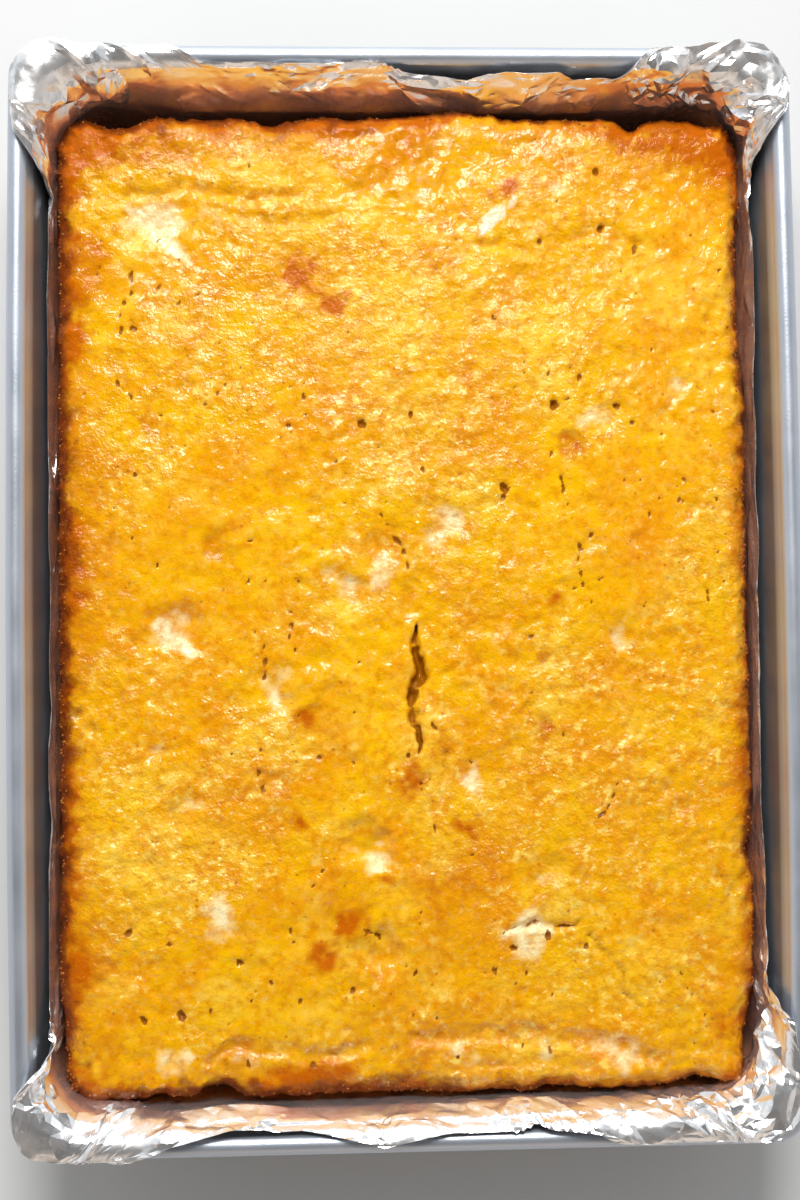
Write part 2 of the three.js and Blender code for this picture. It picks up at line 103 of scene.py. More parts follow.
camera = new_object("camera", bpy.data.cameras.new("camera"))
camera.data.lens = LENS
camera.data.sensor_width = SENSOR
camera.location = [v * MM for v in CAMERA_PLACE]
camera.rotation_euler = [math.radians(v) for v in CAMERA_TILT]
camera.data.dof.use_dof = False
bpy.context.scene.camera = camera
print("camera", CAMERA_PLACE[2], "mm above the table, lens", LENS)

# %% [markdown]
# Baked crust and crumpled foil are never regular, but a script has to give the same result
# each time. A hash of two whole numbers gives a height for each corner of a grid. Blending
# those heights softly gives hills, for the crust. Joining them with straight lines gives
# creases, for the foil.

# %% Repeatable unevenness
def chance(i, j):
    """A repeatable random number from 0 to 1 for each pair of whole numbers."""
    wave = np.sin(i * 127.1 + j * 311.7) * 43758.5453
    return wave - np.floor(wave)


def hills(x, y):
    """Soft hills from 0 to 1, about one for each unit of length."""
    i, j = np.floor(x), np.floor(y)
    s, t = x - i, y - j
    s, t = s * s * (3 - 2 * s), t * t * (3 - 2 * t)
    low = chance(i, j) * (1 - s) + chance(i + 1, j) * s
    high = chance(i, j + 1) * (1 - s) + chance(i + 1, j + 1) * s
    return low * (1 - t) + high * t


def waves(x, y, sizes, middle=0.5):
    """Hills added up round a middle height. Each size is a height and a length."""
    return sum(height * (hills(x / length, y / length) - middle) for height, length in sizes)


def bump(distance, reach):
    """A round bump, 1 in the middle and 0 at a distance of one reach."""
    t = np.clip(distance / reach, -1, 1)
    return (1 - t * t) ** 2


print("same heights each run:", hills(np.array([0.5]), np.array([0.5])).round(4))


# %% Places along a line, closer together where detail is needed
def graded_places(count, half, marks):
    """count + 1 places from -half to half; each mark is a place, a reach and a gain."""
    fine = np.linspace(-half, half, 801)
    middles = (fine[1:] + fine[:-1]) / 2
    density = 1 + sum(gain * bump(middles - at, reach) for at, reach, gain in marks)
    sums = np.concatenate([[0], np.cumsum(density * np.ones_like(middles))])
    return np.interp(np.linspace(0, sums[-1], count + 1), sums, fine)


print("closer in the middle:", graded_places(6, 1, [(0, 0.5, 3)]).round(2))

# %% Turn arrays of points into a mesh object
def mesh_object(name, mesh):
    """A new object that shows a mesh."""
    made = new_object(name, mesh)
    print(name, "has", len(mesh.vertices), "points and", len(mesh.polygons), "faces")
    return made


def shape(name, points_mm, faces, material):
    """A smooth mesh object, from points in millimetres."""
    mesh = bpy.data.meshes.new(name)
    mesh.from_pydata((np.asarray(points_mm) * MM).tolist(), [], faces)
    mesh.materials.append(material)
    mesh.shade_smooth()
    return mesh_object(name, mesh)


def paint(thing, name, values):
    """Stores one number for each point, for a material or a tree to read."""
    layer = thing.data.attributes.new(name, "FLOAT", "POINT")
    layer.data.foreach_set("value", np.asarray(values, dtype=np.float32).ravel())


# %% [markdown]
# Materials and Geometry Nodes trees are both made of nodes, and both are written with the
# same small helper: it adds a node, sets its options, and fills each input with a value or
# with a link from another node's output.

# %% Helpers for node trees
def fill(node, inputs):
    """Fills a node's inputs, each with a value or with a link from an output socket."""
    for key, value in inputs.items():
        if isinstance(value, bpy.types.NodeSocket):
            node.id_data.links.new(value, node.inputs[key])
        else:
            node.inputs[key].default_value = value


def add(tree, kind, inputs=None, **options):
    """Adds a node, sets its options and fills its inputs."""
    node = tree.nodes.new(kind)
    for key, value in options.items():
        setattr(node, key, value)
    fill(node, inputs or {})
    return node


# %% [markdown]
# A socket knows the tree that it belongs to, as its id_data. So the helpers for small sums
# and patterns need no tree: they find it from the socket that they are given, and a sum of
# sockets then reads much as it would on paper.

# %% Sums and patterns
def math_node(operation, first, second=0.0):
    """One sum of two numbers, as a socket. At least one of the two is a socket."""
    known = first if isinstance(first, bpy.types.NodeSocket) else second
    return add(known.id_data, "ShaderNodeMath", {0: first, 1: second}, operation=operation).outputs[0]


plus, minus, times, divided = (
    partial(math_node, operation) for operation in ("ADD", "SUBTRACT", "MULTIPLY", "DIVIDE")
)


def noise(where, scale, detail=3.0, roughness=0.5):
    """Soft noise round 0.5, at so many bumps a metre."""
    inputs = {"Vector": where, "Scale": scale, "Detail": detail, "Roughness": roughness}
    return add(where.id_data, "ShaderNodeTexNoise", inputs).outputs["Fac"]


def spread(value, low, high, to_low=0.0, to_high=1.0):
    """Stretches the range from low to high over a new range, and stops at its ends."""
    inputs = {"Value": value, "From Min": low, "From Max": high, "To Min": to_low, "To Max": to_high}
    return add(value.id_data, "ShaderNodeMapRange", inputs).outputs["Result"]


def blend_colour(share, first, second):
    """Mixes two colours by a share."""
    inputs = {0: share, 6: first, 7: second}
    return add(share.id_data, "ShaderNodeMix", inputs, data_type="RGBA").outputs[2]


def bumps(height, distance, strength=1.0, under=None):
    """A normal that follows a height, and lies over another normal if there is one."""
    inputs = {"Height": height, "Strength": strength, "Distance": distance}
    if under is not None:
        inputs["Normal"] = under
    return add(height.id_data, "ShaderNodeBump", inputs).outputs["Normal"]


def painted(tree, name):
    """A number that is painted on the mesh, as a socket."""
    return add(tree, "ShaderNodeAttribute", attribute_name=name).outputs["Fac"]


def new_material(name):
    """An empty material, its shader, and the place on the object as a socket."""
    material = bpy.data.materials.new(name)
    material.use_nodes = True
    where = add(material.node_tree, "ShaderNodeTexCoord").outputs["Object"]
    return material, material.node_tree.nodes["Principled BSDF"], where


# %% [markdown]
# The pan is pressed from thin steel and coated with a satin grey non-stick finish. The coat
# is metal flakes in a dark lacquer, so it mirrors what is near it, but softly. The walls are
# given painted shade, and the rolled rim is lighter, as a painted reflection of the bright
# room. Fine noise in the roughness keeps the reflections from looking like plastic.

# %% Satin pan coating
WALL_TOP_Z = 44.0
# Two shades between which each part of the coating changes, in linear light. The walls are darker as
# painted shade, and the rim is lighter as a painted reflection of the room
SHADED_WALL_COAT = (0.19, 0.20, 0.22, 1), (0.25, 0.26, 0.28, 1)
LIT_RIM_COAT = (0.50, 0.545, 0.62, 1), (0.60, 0.635, 0.70, 1)
# How far over the wall's top the rim's painted light begins, and where it is full
LIT_RIM_FROM, LIT_RIM_FULL = 0.5, 3.0


def coating_material():
    """Satin coating with painted shade on the walls and a lighter rim that is a painted reflection."""
    material, shader, where = new_material("pan_coating")
    cloudy = noise(where, 40, 4)
    height = add(where.id_data, "ShaderNodeSeparateXYZ", {0: where}).outputs["Z"]
    # Painted light: the rim is lighter for the bright room that it mirrors, and the walls darker for the
    # dark gap
    lit_rim = spread(height, (WALL_TOP_Z + LIT_RIM_FROM) * MM, (WALL_TOP_Z + LIT_RIM_FULL) * MM)
    wall, rim = blend_colour(cloudy, *SHADED_WALL_COAT), blend_colour(cloudy, *LIT_RIM_COAT)
    fill(shader, {
        "Base Color": blend_colour(lit_rim, wall, rim), "Metallic": 0.8,
        "Roughness": spread(cloudy, 0.3, 0.7, 0.34, 0.46),
        "Normal": bumps(noise(where, 1700, 2), 0.0001, 0.5),
    })
    return material


coating = coating_material()
print("made", coating.name)

# %% [markdown]
# A pressed pan follows one rule: the same section runs all the way round, but its corners
# are tight at the rim and wide at the floor. Geometry Nodes can follow that rule. The
# section is a chain of points. Each says how far out it lies, from the floor's outline (0)
# over the wall's top (1) to the rim's outer edge (2), how much it is shrunk towards the
# middle of the pan, and how high it is. The tree draws the three outlines, and puts each
# point of the section between them, all the way round.

# %% Section of the pan
BEAD = 6.5
SHEET = 1.0
WALL_TOP_INSET = 8.2
FLOOR_INSET = 16.0
FLOOR_TURN_Z = 5.0
RIM_CORNER = 12.0
FLOOR_CORNER = 22.0
# Sizes of the rings that close the floor and the underside, as shares of the floor's outline
CLOSING_SHARES = (0.0, 0.5, 0.8)


def pan_section():
    """Points of the section as place outwards, shrink and height, from below to above."""
    radius = BEAD / 2
    centre_z = PAN_HEIGHT - radius
    # Each point is its inset from the rim's outer edge, and its height
    outside = [(FLOOR_INSET + 4, 0), (FLOOR_INSET + 2, 0.2), (FLOOR_INSET + 0.6, 1.1)]
    outside += [(FLOOR_INSET - 0.5, 2.6), (FLOOR_INSET - SHEET, FLOOR_TURN_Z)]
    outside += [(WALL_TOP_INSET - SHEET, WALL_TOP_Z), (WALL_TOP_INSET - SHEET - 0.5, WALL_TOP_Z + 1)]
    turns = np.radians(np.linspace(-100, 165, 19))
    bead = [(radius - radius * math.cos(a), centre_z + radius * math.sin(a)) for a in turns]
    inside = [(6.9, 46.6), (7.6, 45.4), (WALL_TOP_INSET, WALL_TOP_Z), (FLOOR_INSET, FLOOR_TURN_Z)]
    inside += [(FLOOR_INSET + 0.5, 3.4), (FLOOR_INSET + 1.4, 2), (FLOOR_INSET + 2.6, 1.2)]
    inside += [(FLOOR_INSET + 4, SHEET)]
    chain = outside + bead + inside
    rows = [(chain[0], share) for share in CLOSING_SHARES]
    rows += [(point, 1.0) for point in chain]
    rows += [(chain[-1], share) for share in reversed(CLOSING_SHARES)]
    points = []
    for (inset, z), share in rows:
        if inset > WALL_TOP_INSET:
            out = (FLOOR_INSET - inset) / (FLOOR_INSET - WALL_TOP_INSET)
        else:
            out = 1 + (WALL_TOP_INSET - inset) / WALL_TOP_INSET
        points.append((out, share, z * MM))
    return points


section_points = pan_section()
section_mesh = bpy.data.meshes.new("pan_section")
section_mesh.from_pydata(section_points, [], [])
print("the section has", len(section_points), "points")


# %% Helpers for the trees that make shapes
CORNER_STEPS = 7
EDGE_CUTS = 3


def outline(tree, width, length, inset, corner):
    """Points of a rounded rectangle that lies inset from the rim's edge."""
    twice = times(inset, 2.0)
    sizes = {"Width": minus(width, twice), "Height": minus(length, twice)}
    corners = add(tree, "GeometryNodeCurvePrimitiveQuadrilateral", sizes)
    rounding = {"Curve": corners.outputs["Curve"], "Radius": corner, "Count": CORNER_STEPS}
    rounded = add(tree, "GeometryNodeFilletCurve", rounding, mode="POLY")
    cut = {"Curve": rounded.outputs["Curve"], "Cuts": EDGE_CUTS}
    return add(tree, "GeometryNodeSubdivideCurve", cut).outputs["Curve"]


def place_of(tree, geometry, index):
    """The position of one point of a geometry, as a vector socket."""
    position = add(tree, "GeometryNodeInputPosition").outputs["Position"]
    inputs = {"Geometry": geometry, "Value": position, "Index": index}
    return add(tree, "GeometryNodeSampleIndex", inputs, data_type="FLOAT_VECTOR").outputs["Value"]


def blend_place(tree, share, first, second):
    """A point between two others, or beyond them where the share is under 0 or over 1."""
    options = {"data_type": "VECTOR", "clamp_factor": False}
    return add(tree, "ShaderNodeMix", {0: share, 4: first, 5: second}, **options).outputs[1]


def new_tree(name, numbers):
    """A Geometry Nodes tree with named number inputs, and its input and output nodes."""
    tree = bpy.data.node_groups.new(name, "GeometryNodeTree")
    tree.interface.new_socket("Geometry", in_out="INPUT", socket_type="NodeSocketGeometry")
    tree.interface.new_socket("Geometry", in_out="OUTPUT", socket_type="NodeSocketGeometry")
    for key, value in numbers.items():
        kind = "NodeSocketInt" if isinstance(value, int) else "NodeSocketFloat"
        tree.interface.new_socket(key, in_out="INPUT", socket_type=kind).default_value = value
    return tree, tree.nodes.new("NodeGroupInput"), tree.nodes.new("NodeGroupOutput")


def finish(tree, geometry, material, result):
    """Ends a tree: instances become real, and the material is set."""
    real = add(tree, "GeometryNodeRealizeInstances", {"Geometry": geometry})
    dressing = {"Geometry": real.outputs["Geometry"], "Material": material}
    dressed = add(tree, "GeometryNodeSetMaterial", dressing)
    tree.links.new(dressed.outputs["Geometry"], result.inputs["Geometry"])


# %% The tree that runs the section round the pan
# Points of the ring's two ends that are nearer than this, in metres, become one
SAME_PLACE = 1e-5


def pan_tree():
    """The tree that lays a section's points round the pan."""
    numbers = {
        "Width": PAN_WIDTH * MM, "Length": PAN_LENGTH * MM,
        "Rim inset": 0.0, "Rim corner": RIM_CORNER * MM,
        "Wall top inset": WALL_TOP_INSET * MM, "Wall top corner": RIM_CORNER * MM,
        "Floor inset": FLOOR_INSET * MM, "Floor corner": FLOOR_CORNER * MM,
        "Side bow": SIDE_BOW * MM,
    }
    tree, given, result = new_tree("pan_form", numbers)
    sizes = given.outputs
    curves = [
        outline(tree, sizes["Width"], sizes["Length"], sizes[level + " inset"], sizes[level + " corner"])
        for level in ("Floor", "Wall top", "Rim")
    ]
    count = add(tree, "GeometryNodeAttributeDomainSize", {0: curves[0]}, component="CURVE")
    around = count.outputs["Point Count"]
    rows = add(tree, "GeometryNodeAttributeDomainSize", {0: sizes["Geometry"]}, component="MESH")
    section_rows = rows.outputs["Point Count"]
    grid_inputs = {"Vertices X": plus(around, 1.0), "Vertices Y": section_rows}
    grid = add(tree, "GeometryNodeMeshGrid", grid_inputs).outputs["Mesh"]

    index = add(tree, "GeometryNodeInputIndex").outputs["Index"]
    row = math_node("MODULO", index, section_rows)
    column = math_node("MODULO", math_node("FLOOR", divided(index, section_rows)), around)
    section = add(tree, "ShaderNodeSeparateXYZ", {0: place_of(tree, sizes["Geometry"], row)}).outputs
    floor, top, rim = (place_of(tree, curve, column) for curve in curves)
    to_top = math_node("MINIMUM", section["X"], 1.0)
    past_top = math_node("MAXIMUM", minus(section["X"], 1.0), 0.0)
    place = blend_place(tree, past_top, blend_place(tree, to_top, floor, top), rim)
    shrink_inputs = {0: place, "Scale": section["Y"]}
    shrunk = add(tree, "ShaderNodeVectorMath", shrink_inputs, operation="SCALE").outputs["Vector"]

    flat = add(tree, "ShaderNodeSeparateXYZ", {0: shrunk}).outputs
    along = divided(flat["Y"], divided(sizes["Length"], 2.0))
    across = divided(flat["X"], divided(sizes["Width"], 2.0))
    belly = minus(1.0, times(along, along))
    bow = times(times(belly, sizes["Side bow"]), divided(section["Z"], PAN_HEIGHT * MM))
    bowed = {"X": plus(flat["X"], times(across, bow)), "Y": flat["Y"], "Z": section["Z"]}
    at = add(tree, "ShaderNodeCombineXYZ", bowed).outputs["Vector"]
    moved = add(tree, "GeometryNodeSetPosition", {"Geometry": grid, "Position": at})
    closing = {"Geometry": moved.outputs["Geometry"], "Distance": SAME_PLACE}
    merged = add(tree, "GeometryNodeMergeByDistance", closing)
    finish(tree, merged.outputs["Geometry"], coating, result)
    return tree


pan_form = pan_tree()
print("pan_form has", len(pan_form.nodes), "nodes")


# %% [markdown]
# What a modifier makes only exists while the modifier is live. Baking it down gives a plain
# mesh that stays: the evaluated mesh is copied, and the modifier is removed. A tree
# grows from a small mesh that only carries it, so its result goes into an object of its own.

# %% Bake modifiers down to a plain mesh
def plain_mesh(thing):
    """A plain mesh of what an object's modifiers make of it. The modifiers are removed."""
    ready = thing.evaluated_get(bpy.context.evaluated_depsgraph_get())
    mesh = bpy.data.meshes.new_from_object(ready)
    thing.modifiers.clear()
    return mesh


def grow(name, seed_mesh, tree, values=None):
    """Runs a tree on a mesh and returns a plain mesh object."""
    carrier = new_object(name + "_carrier", seed_mesh)
    modifier = carrier.modifiers.new("form", "NODES")
    modifier.node_group = tree
    for item in tree.interface.items_tree:
        if item.item_type == "SOCKET" and item.in_out == "INPUT" and item.name in (values or {}):
            modifier[item.identifier] = values[item.name]
    mesh = plain_mesh(carrier)
    mesh.name = name
    bpy.data.objects.remove(carrier)
    return mesh_object(name, mesh)


def face_outwards(thing):
    """Turns every face outwards and makes the shading smooth."""
    work = bmesh.new()
    work.from_mesh(thing.data)
    bmesh.ops.recalc_face_normals(work, faces=work.faces)
    if work.calc_volume(signed=True) < 0:
        bmesh.ops.reverse_faces(work, faces=work.faces)
    work.to_mesh(thing.data)
    work.free()
    thing.data.shade_smooth()


pan = grow("pan_body", section_mesh, pan_form)
face_outwards(pan)
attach(pan, "root")
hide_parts("baking_pan")

# %% [markdown]
# Foil is a mirror that is folded at random. Its colour is what it reflects: the golden cake
# low on the far wall, the dark gap beside the cake, and the bright room on top of the rim.
# So the material is plain metal, and only its fine crinkles are drawn with bump.

# %% Bright foil
FOIL_GREY = (0.93, 0.91, 0.9, 1)


def foil_material():
    """Bright metal with the fine crinkles that are too small for the mesh."""
    material, shader, where = new_material("bright_foil")
    cells = {"Vector": where, "Scale": 420.0}
    crinkle = add(where.id_data, "ShaderNodeTexVoronoi", cells, distance="CHEBYCHEV").outputs["Distance"]
    height = plus(crinkle, times(noise(where, 1400, 2), 0.3))
    fill(shader, {
        "Base Color": FOIL_GREY, "Metallic": 0.88,
        "Roughness": spread(noise(where, 55, 3), 0.38, 0.62, 0.12, 0.3),
        "Normal": bumps(height, 0.0003, 0.18),
    })
    return material


bright_foil = foil_material()
print("made", bright_foil.name)

# %% [markdown]
# The foil was pressed into the empty pan from one flat sheet. Seen in section it runs over
# the floor, up the wall and, at the near end and the corners, over the rolled rim. So one
# path serves all the way round, and only the length that the sheet reaches along it changes:
# about 40 mm ends below the rim, 46 is level with the rolled bead, 57 lies on top of it and
# 60 reaches its outer edge.

# %% How far the foil reaches, by place along each side
# The sides in order, anticlockwise. Each pair is a place along the side, and the length that
# the sheet reaches there.
FOIL_REACH = {
    "right": [(-176, 58), (-148, 55), (-140, 44), (-120, 41), (-60, 38), (60, 39), (128, 40),
              (150, 42), (158, 50), (164, 58), (176, 60)],
    "far": [(-126, 60), (-76, 59), (-68, 54), (-8, 54), (4, 50), (22, 48), (36, 52), (54, 52),
            (60, 48), (74, 49), (84, 58), (126, 60)],
    "left": [(-176, 60), (-163, 58), (-155, 45), (-140, 41), (-120, 39), (0, 37), (86, 38),
             (143, 41), (151, 50), (156, 58), (176, 60)],
    "near": [(-126, 60), (-92, 60), (-80, 56), (-62, 53), (-36, 52), (-22, 55), (-10, 57),
             (10, 54), (35, 53.5), (41, 51.5), (46, 53.5), (62, 55), (72, 58), (126, 58)],
}
# Stretches where the box's cutter left small teeth: side, start and end
TOOTHED = [("near", 33, 62), ("near", -115, -90), ("far", -18, 0)]
TOOTH_DEPTH = 0.6
FOIL_OFFSET = 0.9
# The sheet's path from the floor over the rim: inset from the rim's outer edge, and height
FOIL_SECTION = [
    (FLOOR_INSET + 5, 1.7), (FLOOR_INSET + 2.2, 2.7), (FLOOR_INSET + 1, 5.2), (12.9, 25),
    (WALL_TOP_INSET + FOIL_OFFSET, WALL_TOP_Z), (7.9, 48), (6.5, 51.2), (3.3, 52.6),
    (0.1, 51.4), (-1.6, 48), (-1.7, 43),
]


def smooth_path(points, steps=40):
    """Points close together on a smooth curve through a few points, with their lengths."""
    ends = [points[0], *points, points[-1]]
    path = []
    for k in range(len(points) - 1):
        a, b, c, d = (np.array(p, dtype=float) for p in ends[k:k + 4])
        for t in np.arange(steps) / steps:
            turn = (2 * a - 5 * b + 4 * c - d) * t**2 + (3 * b - a - 3 * c + d) * t**3
            path.append((2 * b + (c - a) * t + turn) / 2)
    path.append(np.array(points[-1], dtype=float))
    path = np.array(path)
    lengths = np.concatenate([[0], np.cumsum(np.hypot(*np.diff(path, axis=0).T))])
    return path, lengths


foil_path, foil_lengths = smooth_path(FOIL_SECTION)
print("the foil's path is", round(foil_lengths[-1], 1), "mm long")

# %% Places round the pan
def round_trip(slides_x, slides_y, along_corner):
    """Corner or slide (sx, sy) and way out (angle), anticlockwise from the right side."""
    sx, sy, angle = [], [], []
    for side in range(4):
        turn = side * math.pi / 2
        right, far = round(math.cos(turn)), round(math.sin(turn))
        slides = (slides_y if side % 2 == 0 else slides_x)[:-1]
        sx += list(right - far * slides) + [right - far] * along_corner
        sy += list(far + right * slides) + [far + right] * along_corner
        angle += [turn] * len(slides)
        angle += [turn + j / along_corner * math.pi / 2 for j in range(along_corner)]
    return np.array(sx), np.array(sy), np.array(angle)


def points_round(places, inset, corner, z):
    """Points at those places, at an inset from the rim's outer edge."""
    sx, sy, angle = places
    bow = SIDE_BOW * (1 - sy**2) * np.clip(z / PAN_HEIGHT, 0, 1)
    x = sx * (PAN_WIDTH / 2 - inset - corner) + np.cos(angle) * (corner + bow)
    y = sy * (PAN_LENGTH / 2 - inset - corner) + np.sin(angle) * corner
    return np.stack([x, y, z * np.ones_like(x)], axis=-1)


def wall_corner(z):
    """The corner radius of the wall at a height."""
    up = np.clip((z - FLOOR_TURN_Z) / (WALL_TOP_Z - FLOOR_TURN_Z), 0, 1)
    return FLOOR_CORNER + (RIM_CORNER - FLOOR_CORNER) * up


# The sheet starts as a few large triangles, which are halved a few times
LARGE_ROWS = 2
HALVINGS = 4
FINE = 2**HALVINGS
# Columns along a short side, along a long side and round a corner
ACROSS, ALONG, ROUND_CORNER = 12 * FINE, 18 * FINE, FINE
# They lie a little closer together near both ends of a side
side_ends = [(-1, 0.25, 0.3), (1, 0.25, 0.3)]
foil_places = round_trip(
    graded_places(ACROSS, 1, side_ends), graded_places(ALONG, 1, side_ends), ROUND_CORNER
)
print("the foil has", len(foil_places[0]), "columns")

# %% [markdown]
# A hand pressed the sheet smooth against the long walls, left it standing off at the two
# ends, and crushed it where it had to turn a corner. So the rim is cut into zones. Each zone
# says how far the sheet stands off the wall, how much room it has to crumple, how much
# rounder its corner is than the pan's, and how deep each size of crease is.

# %% Zones of the foil
# Each list holds pairs: the length reached along the path, and a distance in millimetres.
# The creases are depths as shares of the room, from the largest crease to the smallest.
AS_THE_PAN = [(0, 0), (62, 0)]
LONG_WALL = {
    "standoff": [(20, 0), (34, 0.5), (42, 0.4), (62, 0)],
    "room": [(10, 0), (24, 0.6), (34, 0.8), (42, 1.4), (62, 2.0)],
    "rounder": AS_THE_PAN,
    "creases": (0.8, 0.4, 0.1, 0.1, 0.05),
}
FAR_WALL = {
    "standoff": [(16, 0), (27, 3.2), (33, 4.4), (42, 2.6), (48, 1.4), (54, 0.6), (62, 0)],
    "room": [(10, 0), (24, 0.4), (34, 1.2), (43, 2.6), (52, 2.6), (62, 2.2)],
    "rounder": AS_THE_PAN,
    "creases": (0.6, 0.55, 0.16, 0.12, 0.04),
}
NEAR_WALL = {
    "standoff": [(16, 0), (30, 0.6), (36, 1.6), (42, 3.0), (48, 2.2), (54, 0.4), (62, 0)],
    "room": [(10, 0), (24, 0.8), (34, 1.2), (42, 2.6), (52, 3.0), (62, 2.0)],
    "rounder": AS_THE_PAN,
    "creases": (0.6, 0.35, 0.12, 0.1, 0.05),
}
BROAD_CORNER = {
    "standoff": [(16, 0), (36, 1.8), (46, 2.5), (56, 0.5), (62, 0)],
    "room": [(10, 0), (28, 1.0), (38, 3.0), (46, 5.0), (53, 4.2), (58, 2.2), (64, 1.4)],
    "rounder": [(10, 0), (30, 3), (42, 9), (50, 7), (60, 2)],
    "creases": (0.7, 0.55, 0.22, 0.16, 0.05),
}
CRUSHED_CORNER = {
    "standoff": [(16, 0), (36, 1.8), (46, 2.5), (56, 0.8), (62, 0)],
    "room": [(10, 0), (28, 1.0), (38, 3.0), (46, 5.0), (53, 4.6), (58, 2.6), (64, 1.8)],
    "rounder": [(10, 0), (30, 3), (42, 9), (50, 7), (60, 2)],
    "creases": (0.45, 0.6, 0.6, 0.4, 0.12),
}
FOLDED_CORNER = {**BROAD_CORNER, "creases": (0.6, 0.5, 0.45, 0.3, 0.1)}
CORNER_ZONES = {
    (-1, 1): BROAD_CORNER, (1, 1): CRUSHED_CORNER, (-1, -1): FOLDED_CORNER, (1, -1): CRUSHED_CORNER,
}
# How far a corner's zone reaches, from the corner of the rim's rectangle
CORNER_REACH = 62.0
print(HALVINGS + 1, "sizes of crease in", 3 + len(CORNER_ZONES), "zones")


# %% How the zones share the rim
def foil_reach(rim, angle):
    """How far the sheet reaches along its path at each place round the pan."""
    side = (np.floor(angle / (math.pi / 2) + 0.5) % 4).astype(int)
    reach = np.zeros(len(angle))
    for k, (name, pairs) in enumerate(FOIL_REACH.items()):
        along = rim[:, 1] if k % 2 == 0 else rim[:, 0]
        reach = np.where(side == k, np.interp(along, *zip(*pairs)), reach)
        for toothed, start, end in TOOTHED:
            if toothed == name:
                cut = (side == k) & (along > start) & (along < end)
                reach = reach + cut * TOOTH_DEPTH * (np.arange(len(reach)) % 2)
    return reach


def zone_shares(rim, angle):
    """Each zone with its share at each place round the pan. The shares add up to one."""
    shares = []
    left = np.ones(len(angle))
    for (sx, sy), zone in CORNER_ZONES.items():
        away = np.hypot(rim[:, 0] - sx * PAN_WIDTH / 2, rim[:, 1] - sy * PAN_LENGTH / 2)
        share = bump(away, CORNER_REACH)
        shares.append((zone, share))
        left = left - share
    far = np.clip(np.sin(angle), 0, 1) ** 2
    near = np.clip(-np.sin(angle), 0, 1) ** 2
    shares += [(FAR_WALL, left * far), (NEAR_WALL, left * near)]
    return shares + [(LONG_WALL, left * (1 - far - near))]


foil_angle = foil_places[2]
foil_rim = points_round(foil_places, 0, RIM_CORNER, PAN_HEIGHT)
foil_zones = zone_shares(foil_rim, foil_angle)
foil_ends = foil_reach(foil_rim, foil_angle)
print("the foil reaches from", foil_ends.min().round(1), "to", foil_ends.max().round(1), "mm")

# %% [markdown]
# Crumpled foil is made of flat facets that meet in straight, sharp creases, and the large
# facets are broken up by smaller ones. So the sheet is made by halving. It starts as a few
# large triangles, whose corners stand out by chance. Each halving puts a new point on every
# edge and moves it a little, less each time. The creases then lie on the mesh's own edges,
# at every size, and stay crisp.


# %% Halve a sheet of triangles
def halve(values, rising):
    """Values on a grid with twice the rows and columns, which goes round on itself."""
    rows, count = values.shape
    after = np.roll(values, -1, axis=1)
    fine = np.zeros((2 * rows - 1, 2 * count))
    fine[::2, ::2] = values
    fine[::2, 1::2] = (values + after) / 2
    fine[1::2, ::2] = (values[:-1] + values[1:]) / 2
    up = (values[:-1] + after[1:]) / 2
    down = (after[:-1] + values[1:]) / 2
    fine[1::2, 1::2] = np.where(rising, up, down)
    return fine


def halve_diagonals(rising, level):
    """Which diagonal splits each new cell. Cells on an old diagonal keep its direction."""
    rows, count = rising.shape
    i, j = np.meshgrid(np.arange(2 * count), np.arange(2 * rows))
    fine = chance(i + 0.5, j + 60 * level) < 0.5
    for up in (0, 1):
        for right in (0, 1):
            on_diagonal = rising if up == right else ~rising
            fine[up::2, right::2] = np.where(on_diagonal, rising, fine[up::2, right::2])
    return fine


def luck(counts, level, kind, power=1):
    """A random number from -1 to 1 for each point that is new at this halving."""
    i, j = np.meshgrid(np.arange(counts[1]), np.arange(counts[0]))
    fresh = (i % 2 + j % 2 > 0) | (level == 0)
    return fresh * (2 * chance(i + 200 * kind, j + 60 * level) - 1) ** power


print("a halved row:", halve(np.array([[0.0, 1.0], [1.0, 0.0]]), np.array([[True, True]]))[1])

# %% Crumple the foil
# Lengths along the path of the smooth rings, and where the creased rows begin
LOW_LENGTHS = (0, 1.5, 3, 4.5, 6.5, 9, 14, 20)
HIGH_FROM = 26.0
HIGH_ROWS = LARGE_ROWS * FINE
ROW_EASE = 1.3
# How far points slide at each halving, as a share of their spacing
SLIDES = (0.28, 0.14, 0.14, 0.14, 0.14)
# A higher odd power makes deep dents rarer, and leaves the facets flat between them
RARENESS = (1, 1, 1, 3, 5)
# How far the whole sheet is lifted off the wall, as a share of its room to crumple
LIFT = 0.3


def told(name, reached):
    """What the zones say about one thing at each place that the sheet reaches."""
    return sum(share * np.interp(reached, *zip(*zone[name])) for zone, share in foil_zones)


def length_reached(t):
    """Length along the path at a share of the creased rows, closer together near the end."""
    return HIGH_FROM + (foil_ends - HIGH_FROM) * (1 - (1 - t) ** ROW_EASE)


def crumpled():
    """How far each point stands out, slid along and slid up, and the cells' diagonals."""
    rows = np.arange(HIGH_ROWS + 1) / HIGH_ROWS
    room = told("room", length_reached(rows[:, None]))
    large_columns = len(foil_ends) // FINE
    i, j = np.meshgrid(np.arange(large_columns), np.arange(LARGE_ROWS))
    rising = (i + j) % 2 == 0
    out = along = up = np.zeros((LARGE_ROWS + 1, large_columns))
    for level, slide in enumerate(SLIDES):
        step = FINE // 2**level
        if level > 0:
            out, along, up = (halve(values, rising) for values in (out, along, up))
            rising = halve_diagonals(rising, level)
        depth = sum(share[::step] * zone["creases"][level] for zone, share in foil_zones)
        out = out + luck(out.shape, level, 0, RARENESS[level]) * depth * room[::step, ::step]
        along = along + luck(out.shape, level, 1) * slide * step
        held = np.ones(len(out))
        held[[0, -1]] = 0
        up = up + luck(out.shape, level, 2) * slide * step * held[:, None]
    along[-1] = 0
    return out + LIFT * room, along, up, rising


creases = crumpled()
print("the sheet stands out by up to", creases[0].max().round(1), "mm")


